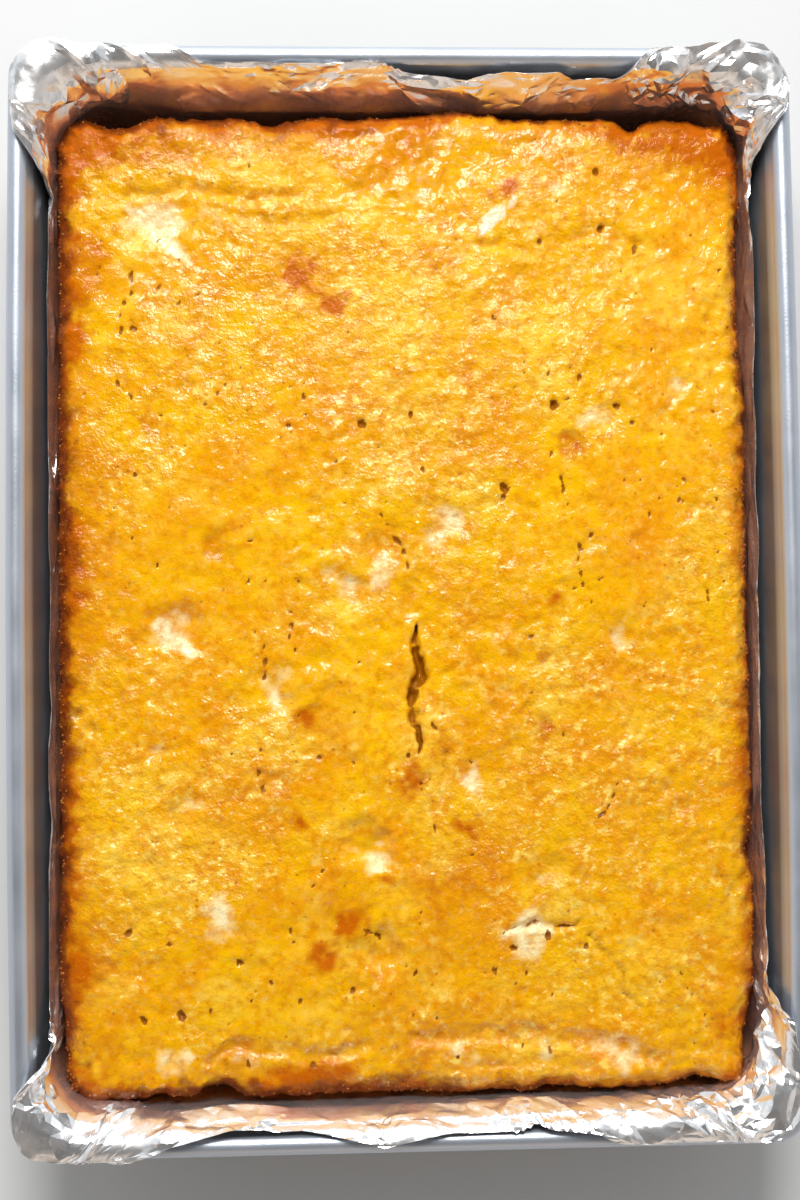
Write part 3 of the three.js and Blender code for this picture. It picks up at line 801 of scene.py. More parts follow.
# %% Lay the creased sheet into the pan
def foil_points(column, reached, offset):
    """Points of the sheet by column, length reached along the path and offset inwards."""
    column = column % len(foil_ends)
    slots = np.arange(len(foil_ends) + 1)
    places = []
    for values, lap_gain in zip(foil_places, (0, 0, 2 * math.pi)):
        places.append(np.interp(column, slots, np.append(values, values[0] + lap_gain)))
    inset = np.interp(reached, foil_lengths, foil_path[:, 0])
    z = np.interp(reached, foil_lengths, foil_path[:, 1])
    ahead = np.interp(reached + 0.5, foil_lengths, foil_path[:, 0]) - inset
    climb = np.interp(reached + 0.5, foil_lengths, foil_path[:, 1]) - z
    size = np.maximum(np.hypot(ahead, climb), 1e-6)
    inward = climb / size
    inset = inset + inward * offset
    z = z - ahead / size * offset
    corner = wall_corner(z) - (FOIL_OFFSET + offset) * inward + told("rounder", reached)
    return points_round(places, inset, corner, z)


def foil_surface():
    """Rings of points from the floor up."""
    out, along, up = creases[:3]
    columns = np.arange(len(foil_ends))
    rings = []
    for length in LOW_LENGTHS:
        share = length / HIGH_FROM
        reached = np.full(len(foil_ends), float(length))
        offset = told("standoff", reached) + np.maximum(out[0], 0) * share
        rings.append(foil_points(columns + along[0] * share, reached, offset))
    for row in range(HIGH_ROWS + 1):
        reached = length_reached((row + up[row]) / HIGH_ROWS)
        offset = told("standoff", reached) + np.maximum(out[row], 0)
        rings.append(foil_points(columns + along[row], reached, offset))
    return np.array(rings)


foil_rings = foil_surface()
print("foil rows and columns:", foil_rings.shape[:2])


# %% Build the liner
# The sheet's thickness in millimetres, and the angle in degrees from which a crease is sharp
FOIL_SHEET = 0.1
FOIL_SHARP = 15.0


def ring_faces(first, second, count):
    """Faces between two rings of points, by their first indices."""
    k = np.arange(count)
    n = (k + 1) % count
    return np.stack([first + k, first + n, second + n, second + k], axis=-1).tolist()


def crease_faces(first, second, rising):
    """Triangles between two rings, each cell split along its own diagonal."""
    k = np.arange(len(rising))
    n = (k + 1) % len(rising)
    a, b, c, d = first + k, first + n, second + n, second + k
    one = np.where(rising[:, None], np.stack([a, b, c], -1), np.stack([a, b, d], -1))
    two = np.where(rising[:, None], np.stack([a, c, d], -1), np.stack([b, c, d], -1))
    return one.tolist() + two.tolist()


def make_foil():
    """The sheet's faces, closed over the floor, with a Solidify modifier for its thickness."""
    rows, count = foil_rings.shape[:2]
    points = foil_rings.reshape(-1, 3)
    rising = creases[-1]
    faces = [list(range(count - 1, -1, -1))]
    for row in range(rows - 1):
        high = row - len(LOW_LENGTHS)
        if high < 0:
            faces += ring_faces(row * count, (row + 1) * count, count)
        else:
            faces += crease_faces(row * count, (row + 1) * count, rising[high])
    liner = shape("foil_sheet", points, faces, bright_foil)
    solid = liner.modifiers.new("sheet", "SOLIDIFY")
    solid.thickness = FOIL_SHEET * MM
    solid.offset = 0
    return liner


foil = make_foil()
foil.data = plain_mesh(foil)
face_outwards(foil)
foil.data.set_sharp_from_angle(angle=math.radians(FOIL_SHARP))
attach(foil, "root")
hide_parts("foil_liner")
print("foil faces:", len(foil.data.polygons))

# %% [markdown]
# The cake's crust is the picture's main surface. It is one sheet of small waves, with soft
# hollows where banana lay under it, pores where bubbles broke, and a split along the middle.
# A fine grid carries all of that as real shape, so it shows from every side.

# %% The cake's sizes and named features
# In millimetres, with places measured from the middle of the pan
CAKE_WIDTH = 226.0
CAKE_LENGTH = 320.0
CAKE_MIDDLE_Y = -2.0
CAKE_CORNER = 11.0
CAKE_FLOOR_Z = 2.3
CAKE_EDGE_Z = 34.0
CAKE_SHOULDER_Z = 38.0
CAKE_CROWN = 2.4
SHOULDER_REACH = 6.5
# Notches of the edge: side, place from its middle, reach, and depth, which is negative for a bulge
NOTCHES = [
    ("far", -93, 14, 3.6), ("far", -43, 6, 2.4), ("far", 77, 6, 4), ("far", 20, 20, -2),
    ("far", 102, 8, 2), ("right", 105, 40, 1.8), ("right", -82, 7, 2.6), ("right", -146, 24, 4),
    ("near", 95, 12, 3), ("near", 47, 10, 1.8), ("near", -62, 9, 4), ("near", -82, 5, 1.6),
    ("left", -150, 24, 2), ("left", 60, 12, -0.7),
]
# Soft hollows: place, reach and depth
HOLLOWS = [
    (-81, 121, 15, 2.2), (-78, -13, 12, 2.8), (-21, 2, 9, 2.4), (-6, 13, 9, 2.2), (11, 22, 11, 2.6),
    (-52, -32, 7, 1.6), (-41, -32, 8, 2.2), (-84, -50, 6, 1.8), (-72, -72, 8, 1.8), (-13, -81, 9, 3.2),
    (-11, -117, 9, 3.2), (71, -14, 6, 1.8), (22, -62, 10, 1.6), (43, -92, 9, 1.8), (91, 69, 7, 1.6),
    (65, 56, 6, 1.6), (75, 14, 4, 1.2), (-60, 17, 6, 1.6), (53, 48, 7, 1.4),
]
# Splits and wrinkles: depth, and points of a line with the half width at each
FURROWS = [
    (4.5, [(2, -10, 0.8), (2, -17, 1.8), (4, -26, 3.8), (2, -35, 2.4), (2, -45, 2.0), (3, -52, 0.9)]),
    (1.8, [(12, -51, 0.7), (12, -60, 1.3), (10, -68, 0.6)]),
    (2.2, [(32, -109, 0.8), (40, -107, 1.8), (54, -108, 1.0)]),
    (2.0, [(57, -112, 0.8), (63, -119, 1.6), (69, -125, 1.3), (68, -130, 1.1), (74, -137, 0.7)]),
    (1.6, [(-91, 132, 2.5), (-71, 134, 4), (-49, 130, 4), (-35, 132, 2.5)]),
    (1.2, [(-60, 126, 2), (-40, 122, 3), (-20, 125, 2)]),
    (1.3, [(58, 118, 2.5), (65, 120, 4), (77, 114, 2.5)]),
    (1.1, [(24, 114, 2.5), (42, 112, 3)]),
    (1.8, [(0, -143, 3), (14, -144, 4), (29, -142, 5), (48, -146, 5), (68, -147, 5), (80, -153, 3)]),
    (1.6, [(-66, -151, 2.5), (-58, -146, 4), (-44, -147, 4.5), (-30, -149, 3), (-14, -146, 2.5)]),
    (1.0, [(20, -154, 2), (40, -152, 3), (60, -155, 2)]),
    (0.9, [(102, 91, 1.6), (103, 76, 2.4), (102, 62, 1.6)]),
    (1.0, [(84, 79, 1.2), (88, 62, 1.8), (84, 54, 1.8), (85, 41, 1.2)]),
    (0.9, [(97, -47, 1.2), (96, -57, 1.6), (92, -70, 1.2)]),
    (0.8, [(-102, -42, 1.4), (-101, -62, 2), (-103, -83, 1.4)]),
    (0.8, [(-95, 20, 1.4), (-97, 2, 2), (-96, -14, 1.4)]),
]
# A piece of banana that lies on the crust: points of its middle line with half widths
FRUIT_LINE = [(26, 119, 2.6), (29, 122.5, 4.4), (33, 126, 3.8), (36, 129, 1.8)]
FRUIT_HEIGHT = 0.5
# Lines along which small pores are strung
CHAINS = [
    [(-47, -11), (-47, -28), (-49, -54), (-48, -66)], [(-38, -2), (-37, -21)], [(-28, -88), (-31, -93)],
    [(-10, 28), (-3, 18), (1, 4), (2, -12)], [(3, -50), (4, -64)],
    [(-33, 78), (-32, 56)], [(46, 54), (48, 44), (53, 28), (58, 2)], [(-37, -98), (-38, -112)],
    [(10, -66), (8, -78)], [(33, 44), (32, 28)], [(68, -62), (62, -74)], [(-88, 108), (-92, 86)],
]
# Single pores that stand out: place and half width
PORES = [
    (-38, 55, 1.0), (-14, 55, 1.4), (2, 58, 1.2), (49, 61, 2.1), (69, 61, 1.2), (32, 34, 1.6),
    (65, 120, 1.3), (45, 115, 1.0), (76, 113, 1.2), (64, 139, 1.2), (-86, -136, 1.3), (-74, -135, 1.6),
    (-55, -118, 1.2), (-91, -108, 1.2), (-19, -127, 1.0), (-32, -151, 1.0), (33, -115, 1.3),
    (44, -111, 1.5),
]
print(len(HOLLOWS), "hollows,", len(FURROWS), "furrows,", len(CHAINS), "chains of pores")


# %% Scatter the small pores
# The strung and the loose pores together
SMALL_PORES = 300
STRUNG_PORES_APART = 4.2
PORE_SEED = 7


def all_pores():
    """Every pore as x, y, half width, stretch and turn, in millimetres and radians."""
    random = np.random.default_rng(PORE_SEED)
    pores = [(x, y, size, random.uniform(1, 1.6), random.uniform(-0.5, 0.5)) for x, y, size in PORES]
    for line in CHAINS:
        for (ax, ay), (bx, by) in zip(line, line[1:]):
            length = math.hypot(bx - ax, by - ay)
            turn = math.atan2(bx - ax, by - ay)
            for t in np.arange(random.uniform(0, 1), 1, STRUNG_PORES_APART / length):
                x = ax + (bx - ax) * t + random.normal(0, 0.5)
                y = ay + (by - ay) * t + random.normal(0, 0.8)
                pores.append((x, y, random.uniform(0.5, 1.0), random.uniform(1.4, 3.2), turn))
    while len(pores) < SMALL_PORES + len(PORES):
        x = random.uniform(-CAKE_WIDTH / 2 + 6, CAKE_WIDTH / 2 - 6)
        y = random.uniform(-CAKE_LENGTH / 2 + 8, CAKE_LENGTH / 2 - 8)
        if hills(np.array(x / 34.0), np.array(y / 34.0)) > random.uniform(0.25, 0.8):
            size = 0.3 + 0.6 * random.uniform(0, 1) ** 3
            pores.append((x, y, size, random.uniform(1, 2.6), random.normal(0, 0.6)))
    return pores


pores = all_pores()
print(len(pores), "pores in all")


# %% The cake's edge
EDGE_WAVES = ((0.9, 4.2), (0.8, 2.1))


def distance_from_edge(x, y):
    """How far places lie from the plain edge, with y from the middle of the cake."""
    return np.minimum(CAKE_WIDTH / 2 - np.abs(x), CAKE_LENGTH / 2 - np.abs(y))


def cake_edge(x, y, inset=0.0, corner=CAKE_CORNER, rough=1.0):
    """Moves points on the plain rectangle to the cake's rounded and notched edge."""
    half_x, half_y = CAKE_WIDTH / 2 - inset, CAKE_LENGTH / 2 - inset
    at_x, at_y = x * half_x * 2 / CAKE_WIDTH, y * half_y * 2 / CAKE_LENGTH
    core_x = np.clip(at_x, corner - half_x, half_x - corner)
    core_y = np.clip(at_y, corner - half_y, half_y - corner)
    away = np.stack([at_x - core_x, at_y - core_y])
    away = away / np.maximum(np.hypot(*away), 1e-9)
    out = corner + rough * (hills(x / 9 + 50, y / 9 + 50) - 0.7)
    facing = {"right": away[0], "left": -away[0], "far": away[1], "near": -away[1]}
    for side, at, reach, depth in NOTCHES:
        along = y if side in ("left", "right") else x
        out = out - rough * depth * bump(along - at, reach) * np.clip(facing[side], 0, 1)
    out = out + rough * waves(x, y, EDGE_WAVES)
    return core_x + away[0] * out, core_y + away[1] * out


right_edge = cake_edge(np.array([CAKE_WIDTH / 2]), np.array([0.0]))[0]
print("the right edge lies at", right_edge.round(1), "mm")


# %% Ragged and bent places
def shift(x, y, broad, fine, starts):
    """Shifts places by broad and fine hills, each a distance and a length in millimetres."""
    (far, wide), (near, small), (a, b, c, d) = broad, fine, starts
    dx = far * (hills(x / wide + a, y / wide) - 0.5) + near * (hills(x / small, y / small + b) - 0.5)
    dy = far * (hills(x / wide, y / wide + c) - 0.5) + near * (hills(x / small + d, y / small) - 0.5)
    return x + dx, y + dy


def stray(x, y):
    """Shifts places a little, so that drawn lines and rounds get ragged edges."""
    return shift(x, y, (1.3, 3.1), (0.6, 1.3), (7, 5, 9, 3))


def bend(x, y):
    """Shifts places by some millimetres, so that rounds become uneven patches."""
    return shift(x, y, (8, 8), (2.4, 2.6), (3, 4, 6, 8))


def tear(x, y, share):
    """Shifts places as stray does, and by a share of what bend does."""
    ragged_x, ragged_y = stray(x, y)
    bent_x, bent_y = bend(x, y)
    return ragged_x + share * (bent_x - x), ragged_y + share * (bent_y - y)


def patches(x, y, places, widen=1.0):
    """Uneven patches, each given as a place, a reach and how strong or deep it is."""
    x, y = bend(x, y)
    return sum(
        strength * bump(np.hypot(x - at_x, y - at_y), widen * reach)
        for at_x, at_y, reach, strength in places
    )


print("a place that strays:", np.round(stray(np.array([10.0]), np.array([20.0])), 2).ravel())


# %% Furrows, fruit, pores and dimples
def near_line(x, y, line):
    """Depth of each place inside a line with changing half width: 1 on it, 0 outside."""
    inside = np.zeros(np.shape(x))
    for (ax, ay, ar), (bx, by, br) in zip(line, line[1:]):
        dx, dy = bx - ax, by - ay
        t = np.clip(((x - ax) * dx + (y - ay) * dy) / (dx * dx + dy * dy), 0, 1)
        away = np.hypot(x - ax - t * dx, y - ay - t * dy)
        inside = np.maximum(inside, bump(away, ar + (br - ar) * t))
    return inside


def around_fruit(x, y):
    """Nearness to the piece of banana, with a ragged outline."""
    uneven = 6 * (hills(x / 3.4 + 20, y / 3.4) - 0.5)
    return near_line(x + uneven, y + uneven, FRUIT_LINE)


def near_pore(x, y, pore, widen=1.0):
    """Depth of each place inside one pore, which is an upright or slanting oval."""
    at_x, at_y, size, stretch, turn = pore
    across = (x - at_x) * math.cos(turn) - (y - at_y) * math.sin(turn)
    along = (x - at_x) * math.sin(turn) + (y - at_y) * math.cos(turn)
    return bump(np.hypot(across, along / stretch), size * widen)


def over_pores(x, y, widen, mix):
    """Works through the pores, each on the few points near it, and keeps the deepest."""
    deepest = np.zeros(np.shape(x))
    for pore in pores:
        reach = pore[2] * pore[3] * widen + 0.5
        close = (np.abs(x - pore[0]) < reach) & (np.abs(y - pore[1]) < reach)
        depth = near_pore(x[close], y[close], pore, widen) * mix(pore)
        deepest[close] = np.maximum(deepest[close], depth)
    return deepest


def dimples(x, y, cell, share):
    """Round dimples from 0 to 1, at most one in each cell, in about that share of the cells."""
    i, j = np.floor(x / cell), np.floor(y / cell)
    deepest = np.zeros(np.shape(x))
    for di in (-1, 0, 1):
        for dj in (-1, 0, 1):
            ci, cj = i + di, j + dj
            at_x = (ci + chance(ci, cj)) * cell
            at_y = (cj + chance(ci + 40, cj)) * cell
            reach = cell * (0.25 + 0.5 * chance(ci, cj + 40))
            there = chance(ci + 80, cj + 80) < share
            deepest = np.maximum(deepest, there * bump(np.hypot(x - at_x, y - at_y), reach))
    return deepest


print("in a furrow's middle:", near_line(2, -17, FURROWS[0][1]).round(2))


# %% The crust's height
# Waves as heights and lengths: broad ones, small ones, and those of the dry edge
SWELLS = ((1.3, 26), (0.6, 11))
RIPPLES = ((0.9, 5.5), (0.5, 2.7))
EDGE_LUMPS = ((1.3, 3.3), (0.9, 1.9))
EDGE_LUMPS_REACH = 9.0
HOLLOWS_DEEP, HOLLOWS_WIDE = 0.8, 1.15
FURROWS_TORN = 0.3


def crust_height(x, y):
    """The crust's height in millimetres over each place."""
    from_edge = distance_from_edge(x, y - CAKE_MIDDLE_Y)
    shoulder = 1 - (1 - np.clip(from_edge / SHOULDER_REACH, 0, 1)) ** 2.2
    crown = (1 - (2 * x / CAKE_WIDTH) ** 2) * (1 - (2 * y / CAKE_LENGTH) ** 4)
    z = CAKE_EDGE_Z + (CAKE_SHOULDER_Z - CAKE_EDGE_Z) * shoulder + CAKE_CROWN * crown
    z = z + shoulder * waves(x, y, SWELLS, 0)
    z = z - HOLLOWS_DEEP * patches(x, y, HOLLOWS, HOLLOWS_WIDE)
    broken = 0.5 + 0.7 * hills(x / 2.2, y / 2.8)
    torn = tear(x, y, FURROWS_TORN)
    for depth, line in FURROWS:
        z = z - depth * broken * near_line(*torn, line)
    ragged_x, ragged_y = stray(x, y)
    z = z - over_pores(ragged_x, ragged_y, 1.0, lambda pore: 0.4 + 1.0 * pore[2])
    lively = 0.35 + 0.9 * hills(x / 17 + 3, y / 23 + 8)
    z = z + lively * waves(x, y, RIPPLES)
    dimpled = 0.45 * dimples(ragged_x, ragged_y, 6, 0.55) + 0.4 * dimples(ragged_x, ragged_y, 3.2, 0.4)
    z = z - lively * dimpled
    z = z + FRUIT_HEIGHT * np.clip(3 * around_fruit(x, y), 0, 1)
    return z + bump(from_edge, EDGE_LUMPS_REACH) * waves(x, y, EDGE_LUMPS)


print("height at the middle:", crust_height(np.array([0.0]), np.array([0.0])).round(2))

# %% [markdown]
# Baked crust goes from pale straw through gold and orange to brown. The golden ground comes
# from noise at several sizes, and its cream mottle is partly painted sheen. The places that a
# baker would notice, such as the brown spots, the pale patches over the fruit and the dark rim
# of the cake, are painted into the mesh as numbers that the material reads. Some pale patches
# are painted glare where hollows and folds face the window, and the dark pits and furrows are
# painted shade. The fat that rises in the oven leaves a thin, uneven film, which is a clear
# coat here: it glints towards the window, and is nearly gone where the crust is toasted.

# %% Colours of the crust
# In linear light, from the ground up
GOLD, AMBER = (0.88, 0.47, 0.0003, 1), (0.80, 0.29, 0.0003, 1)
# The cream is partly the crust's own pale mottle and partly a painted sheen of the glossy film
STRAW, CREAM_AND_SHEEN = (0.94, 0.58, 0.04, 1), (0.98, 0.70, 0.13, 1)
RUSSET, DOTS = (0.68, 0.21, 0.0005, 1), (0.50, 0.14, 0.001, 1)
# The bare colour is pale fruit under thin crust, and painted glare on hollows and folds
BARE_AND_GLARE, TOAST_AND_SHADE = (1.0, 0.86, 0.50, 1), (0.54, 0.12, 0.0008, 1)
# The toast colour also carries painted shade in shallow furrows, and the pit colour is painted shade in
# pores and deep furrows
PIT_SHADE, FRUIT, BURNT = (0.30, 0.09, 0.002, 1), (0.90, 0.68, 0.42, 1), (0.17, 0.026, 0.003, 1)


def ragged(name, flecks, low, high):
    """A painted number whose soft edge is broken up by fine flecks."""
    return spread(plus(painted(flecks.id_data, name), flecks), low, high)


def crust_colour(where, flecks, zones, middle, fine):
    """Layers of colour over a golden ground."""
    tree = where.id_data
    untoasted = minus(1.0, painted(tree, "toast_and_shade"))
    straw = times(spread(noise(where, 38, 6, 0.72), 0.5, 0.72), untoasted)
    # Cream mottle in some zones, partly painted sheen
    cream_and_sheen = times(spread(fine, 0.52, 0.64), spread(middle, 0.45, 0.6))
    cream_and_sheen = times(times(cream_and_sheen, spread(zones, 0.38, 0.6, 0.3, 0.9)), untoasted)
    cells = add(tree, "ShaderNodeTexVoronoi", {"Vector": where, "Scale": 270.0}).outputs["Distance"]
    dots = times(spread(cells, 0.2, 0.08), spread(middle, 0.46, 0.6))
    layers = (
        (straw, STRAW),
        (cream_and_sheen, CREAM_AND_SHEEN),
        (times(spread(fine, 0.48, 0.34), 0.5), RUSSET),
        (times(dots, 0.75), DOTS),
        # Pale patches over fruit, partly painted glare
        (times(ragged("pale_and_glare", flecks, 0.05, 1.0), spread(fine, 0.3, 0.55, 0.35, 1.0)), BARE_AND_GLARE),
        # Toast, with painted shade in the shallow furrows
        (ragged("toast_and_shade", flecks, 0.06, 0.95), TOAST_AND_SHADE),
        # Painted shade in pores and deep furrows
        (times(ragged("pit_shade", flecks, 0.22, 0.5), 0.95), PIT_SHADE),
        (ragged("fruit", flecks, 0.15, 0.9), FRUIT),
        (ragged("burnt", flecks, 0.12, 1.0), BURNT),
    )
    broad = spread(noise(where, 26, 4, 0.6), 0.38, 0.62)
    ground = blend_colour(plus(times(broad, 0.65), times(spread(middle, 0.4, 0.62), 0.35)), GOLD, AMBER)
    for share, colour in layers:
        ground = blend_colour(share, ground, colour)
    return ground


print("from gold", GOLD[:3], "to burnt", BURNT[:3])


# %% Golden crust under an oily film
def crust_material():
    """Baked crust, whose film is thin where it is toasted, burnt or open."""
    material, shader, where = new_material("golden_crust")
    flecks = times(minus(noise(where, 620, 3, 0.6), 0.5), 0.8)
    zones = noise(where, 17, 2, 0.5)
    middle = noise(where, 110, 4, 0.6)
    fine = noise(where, 330, 3, 0.6)
    lumpy = plus(times(noise(where, 420, 2, 0.5), 1.2), times(noise(where, 1000, 2, 0.5), 0.5))
    relief = times(lumpy, spread(zones, 0.42, 0.6, 0.45, 1.1))
    grain = noise(where, 1900, 2, 0.6)
    dull = plus(ragged("toast_and_shade", flecks, 0.2, 1.0), ragged("burnt", flecks, 0.2, 1.0))
    dull = plus(dull, ragged("pit_shade", flecks, 0.2, 0.5))
    film = times(spread(middle, 0.42, 0.56, 0.45, 1.0), spread(fine, 0.38, 0.5, 0.6, 1.0))
    fill(shader, {
        "Base Color": crust_colour(where, flecks, zones, middle, fine),
        "Roughness": spread(middle, 0.35, 0.65, 0.32, 0.5),
        "Normal": bumps(grain, 0.0003, 0.5, bumps(relief, 0.0005)),
        "Coat Normal": bumps(grain, 0.0003, 0.12, bumps(relief, 0.0007)),
        "Coat Weight": times(film, spread(dull, 0, 1, 1.0, 0.35)), "Coat Roughness": 0.06,
        "Specular IOR Level": 0.12, "Specular Tint": (1.0, 0.62, 0.12, 1),
        "Subsurface Weight": 0.12, "Subsurface Radius": (0.003, 0.0012, 0.0004),
        "Subsurface Scale": 1.0,
    })
    return material


golden_crust = crust_material()
print("made", golden_crust.name)

# %% A grid for the crust
CAKE_COLUMNS = 248
CAKE_ROWS = 352


def gather(x, y):
    """Draws a grid's points together round each pore, so that it gets more of them."""
    middle_y = y + CAKE_MIDDLE_Y
    for at_x, at_y, size, *_ in pores:
        reach = 3.5 + 2 * size
        close = (np.abs(x - at_x) < reach) & (np.abs(middle_y - at_y) < reach)
        dx, dy = x[close] - at_x, middle_y[close] - at_y
        pull = 0.42 * bump(np.hypot(dx, dy), reach)
        x[close] -= dx * pull
        y[close] -= dy * pull
        middle_y[close] -= dy * pull
    return x, y


def cake_grid():
    """The crust's grid: plain places, and points in millimetres."""
    half_x, half_y = CAKE_WIDTH / 2, CAKE_LENGTH / 2
    across = graded_places(CAKE_COLUMNS, half_x, [(-half_x, 8, 1), (half_x, 8, 1), (3, 12, 0.8)])
    along = graded_places(CAKE_ROWS, half_y, [(-half_y, 8, 1), (half_y, 8, 1)])
    x, y = gather(*np.meshgrid(across, along))
    share = np.maximum(np.maximum(np.abs(x) / half_x, np.abs(y) / half_y), 1e-6)
    edge_x, edge_y = cake_edge(x / share, y / share)
    pull = share**7
    px = x + (edge_x - x / share) * pull
    py = y + (edge_y - y / share) * pull + CAKE_MIDDLE_Y
    z = crust_height(x, y + CAKE_MIDDLE_Y)
    return x, y, np.stack([px, py, z], axis=-1)


plain_x, plain_y, crust_points = cake_grid()
print("the crust rises to", crust_points[..., 2].max().round(1), "mm")

# %% Build the cake
# The side from the crust's edge down: inset, height, corner radius and roughness
SIDE_SECTION = [
    (0.0, CAKE_EDGE_Z, CAKE_CORNER, 1), (0.6, 29, 12.5, 1), (1.8, 18, 16, 0.7),
    (3.5, 9, 20, 0.4), (5.2, 4.4, 23, 0.3), (8, CAKE_FLOOR_Z, 25, 0.3),
]
SIDE_ROWS = 10


def boundary(rows, columns):
    """Indices of a grid's boundary points, anticlockwise."""
    stride = columns + 1
    near = list(range(columns))
    right = [j * stride + columns for j in range(rows)]
    far = [rows * stride + i for i in range(columns, 0, -1)]
    left = [j * stride for j in range(rows, 0, -1)]
    return near + right + far + left


def make_cake():
    """The cake's mesh: the crust's grid, rings down its side, and a flat underside."""
    points = [crust_points.reshape(-1, 3)]
    stride = CAKE_COLUMNS + 1
    a = (np.arange(CAKE_ROWS)[:, None] * stride + np.arange(CAKE_COLUMNS)[None, :]).ravel()
    faces = np.stack([a, a + 1, a + stride + 1, a + stride], axis=-1).tolist()
    rim = boundary(CAKE_ROWS, CAKE_COLUMNS)
    edge_x, edge_y = plain_x.ravel()[rim], plain_y.ravel()[rim]
    above = np.array(rim)
    used = (CAKE_ROWS + 1) * stride
    for row in range(1, SIDE_ROWS + 1):
        at = row / SIDE_ROWS * (len(SIDE_SECTION) - 1)
        inset, z, corner, rough = (np.interp(at, range(len(v)), v) for v in zip(*SIDE_SECTION))
        ex, ey = cake_edge(edge_x, edge_y, inset, corner, rough)
        ripple = 0.4 * (hills(edge_x / 3 + 9, edge_y / 3 + z / 4) - 0.5) * (1 - row / SIDE_ROWS)
        ring = np.stack([ex + ripple, ey + ripple + CAKE_MIDDLE_Y, z * np.ones_like(ex)], axis=-1)
        points.append(ring)
        below = used + np.arange(len(rim))
        corners = [above, below, np.roll(below, -1), np.roll(above, -1)]
        faces += np.stack(corners, axis=-1).tolist()
        above = below
        used += len(rim)
    faces.append(above[::-1].tolist())
    return shape("cake_body", np.concatenate(points), faces, golden_crust)


cake = make_cake()

# %% Brown spots, and pale patches with painted glare
# Each is a place, a reach and a strength
SPOTS = [
    (-36, -71, 5, 1.0), (-32, -40, 7, 0.8), (-29, -117, 5, 1.1), (-22, -108, 7, 1.0), (33, 134, 7, 1.1),
    (-32, 106, 7, 1.0), (-24, 96, 7, 1.2), (53, 48, 8, 0.8), (-60, 17, 7, 0.8), (-82, 56, 6, 0.7),
    (46, -43, 7, 0.8), (-8, -93, 4, 1.0), (46, -5, 5, 0.8), (44, -22, 5, 0.7), (2, -60, 7, 0.8),
    (10, -48, 6, 0.8), (17, -78, 5, 0.8), (-108, 100, 9, 0.5), (-109, 84, 8, 0.5), (-110, 57, 7, 0.4),
    (10, -96, 14, 0.45), (23, -87, 12, 0.4), (-20, -99, 12, 0.4), (-34, 106, 16, 0.35), (6, 146, 12, 0.4),
    (104, 147, 17, 1.4), (88, 150, 12, 0.9), (74, 149, 10, 0.8), (-105, 148, 16, 1.2), (-106, 114, 10, 0.8),
    (103, -140, 11, 0.6), (13, 108, 12, 0.3), (-55, -145, 9, 0.4), (-30, -45, 9, 0.4), (44, -100, 7, 0.4),
]
# Pale patches over fruit; many are painted glare on hollows and folds that face the window
PALES_AND_GLARE = [
    (-81, 121, 15, 0.8), (-78, -13, 12, 0.6), (-21, 2, 11, 0.6), (11, 22, 12, 0.6), (-41, -32, 10, 0.6),
    (-13, -85, 9, 0.7), (22, -62, 10, 0.6), (43, -92, 8, 0.3), (68, -150, 16, 0.5), (37, -110, 12, 0.7),
    (16, -150, 12, 0.5), (42, -151, 12, 0.4), (-77, -148, 9, 0.5), (-54, -152, 8, 0.4), (63, 57, 9, 0.55),
    (-7, 6, 9, 0.5), (-63, -105, 12, 0.6), (89, 68, 9, 0.5), (71, -14, 9, 0.5), (-63, 123, 9, 0.4),
    (4, 130, 8, 0.4), (50, 131, 8, 0.35), (-84, -47, 7, 0.4), (-71, -68, 8, 0.4),
]
# Streaks of bare fruit under thin crust, partly painted glare where a hollow faces the window: points of a
# line with half widths
STREAKS_AND_GLARE = [
    [(-89, 128, 2), (-84, 123, 4.5), (-77, 115, 4.5), (-70, 108, 2)],
    [(-82, -10, 3), (-76, -15, 4.5), (-70, -20, 2)],
    [(31, -111, 2), (38, -108.5, 3.5), (46, -108, 2)],
]
print(len(SPOTS), "brown spots,", len(PALES_AND_GLARE), "pale patches and", len(STREAKS_AND_GLARE), "streaks")


# %% Where the crust is toasted or burnt
def paint_crust(name, values, below=0.0):
    """Paints one number for each point of the crust's grid, and one for all points below."""
    points_below = len(cake.data.vertices) - values.size
    paint(cake, name, np.concatenate([values.ravel(), np.full(points_below, below)]))


def toasted_and_burnt(x, y):
    """Toast along the edge and in the spots, and the burnt rim. The left side is browner."""
    ragged_x, ragged_y = stray(x, y)
    from_edge = distance_from_edge(plain_x, plain_y)
    browner = 1 - 0.5 * np.clip((x + 20) / 80, 0, 1)
    narrow = 1.4 + (13 * hills(x / 12, y / 12) ** 2 + 4.5 * hills(x / 3, y / 3)) * browner
    wide = 8 + 20 * hills(x / 15 + 30, y / 15) ** 2 * browner
    lumps = 0.5 + (2 * browner**2 + 8 * hills(ragged_x / 4.6, ragged_y / 4.6) ** 2.6) * browner
    strong, faint, burnt = (np.clip(1.4 - from_edge / reach, 0, 1) for reach in (narrow, wide, lumps))
    uneven = 0.6 + 0.85 * hills(ragged_x / 2.9, ragged_y / 2.9)
    rim = np.maximum(strong, 0.4 * browner * faint) * uneven * (0.5 + 0.5 * browner)
    spots = patches(x, y, SPOTS, 1.15) * (0.3 + 1.1 * hills(ragged_x / 2.2, ragged_y / 2.2))
    return np.clip(rim + spots, 0, 1), 0.85 * burnt


crust_y = plain_y + CAKE_MIDDLE_Y
toast_and_shade, burnt = toasted_and_burnt(plain_x, crust_y)
print("share of the crust that is toasted:", toast_and_shade.mean().round(2))


# %% Paint the crust
# How toasted the cake's side is below the crust
SIDE_TOAST = 0.8
# Furrows that are deeper than this, in millimetres, get the dark pit colour as painted shade, and shallower
# ones add painted shade to the toast
DEEP = 2.0
STREAKS_TORN = 0.4


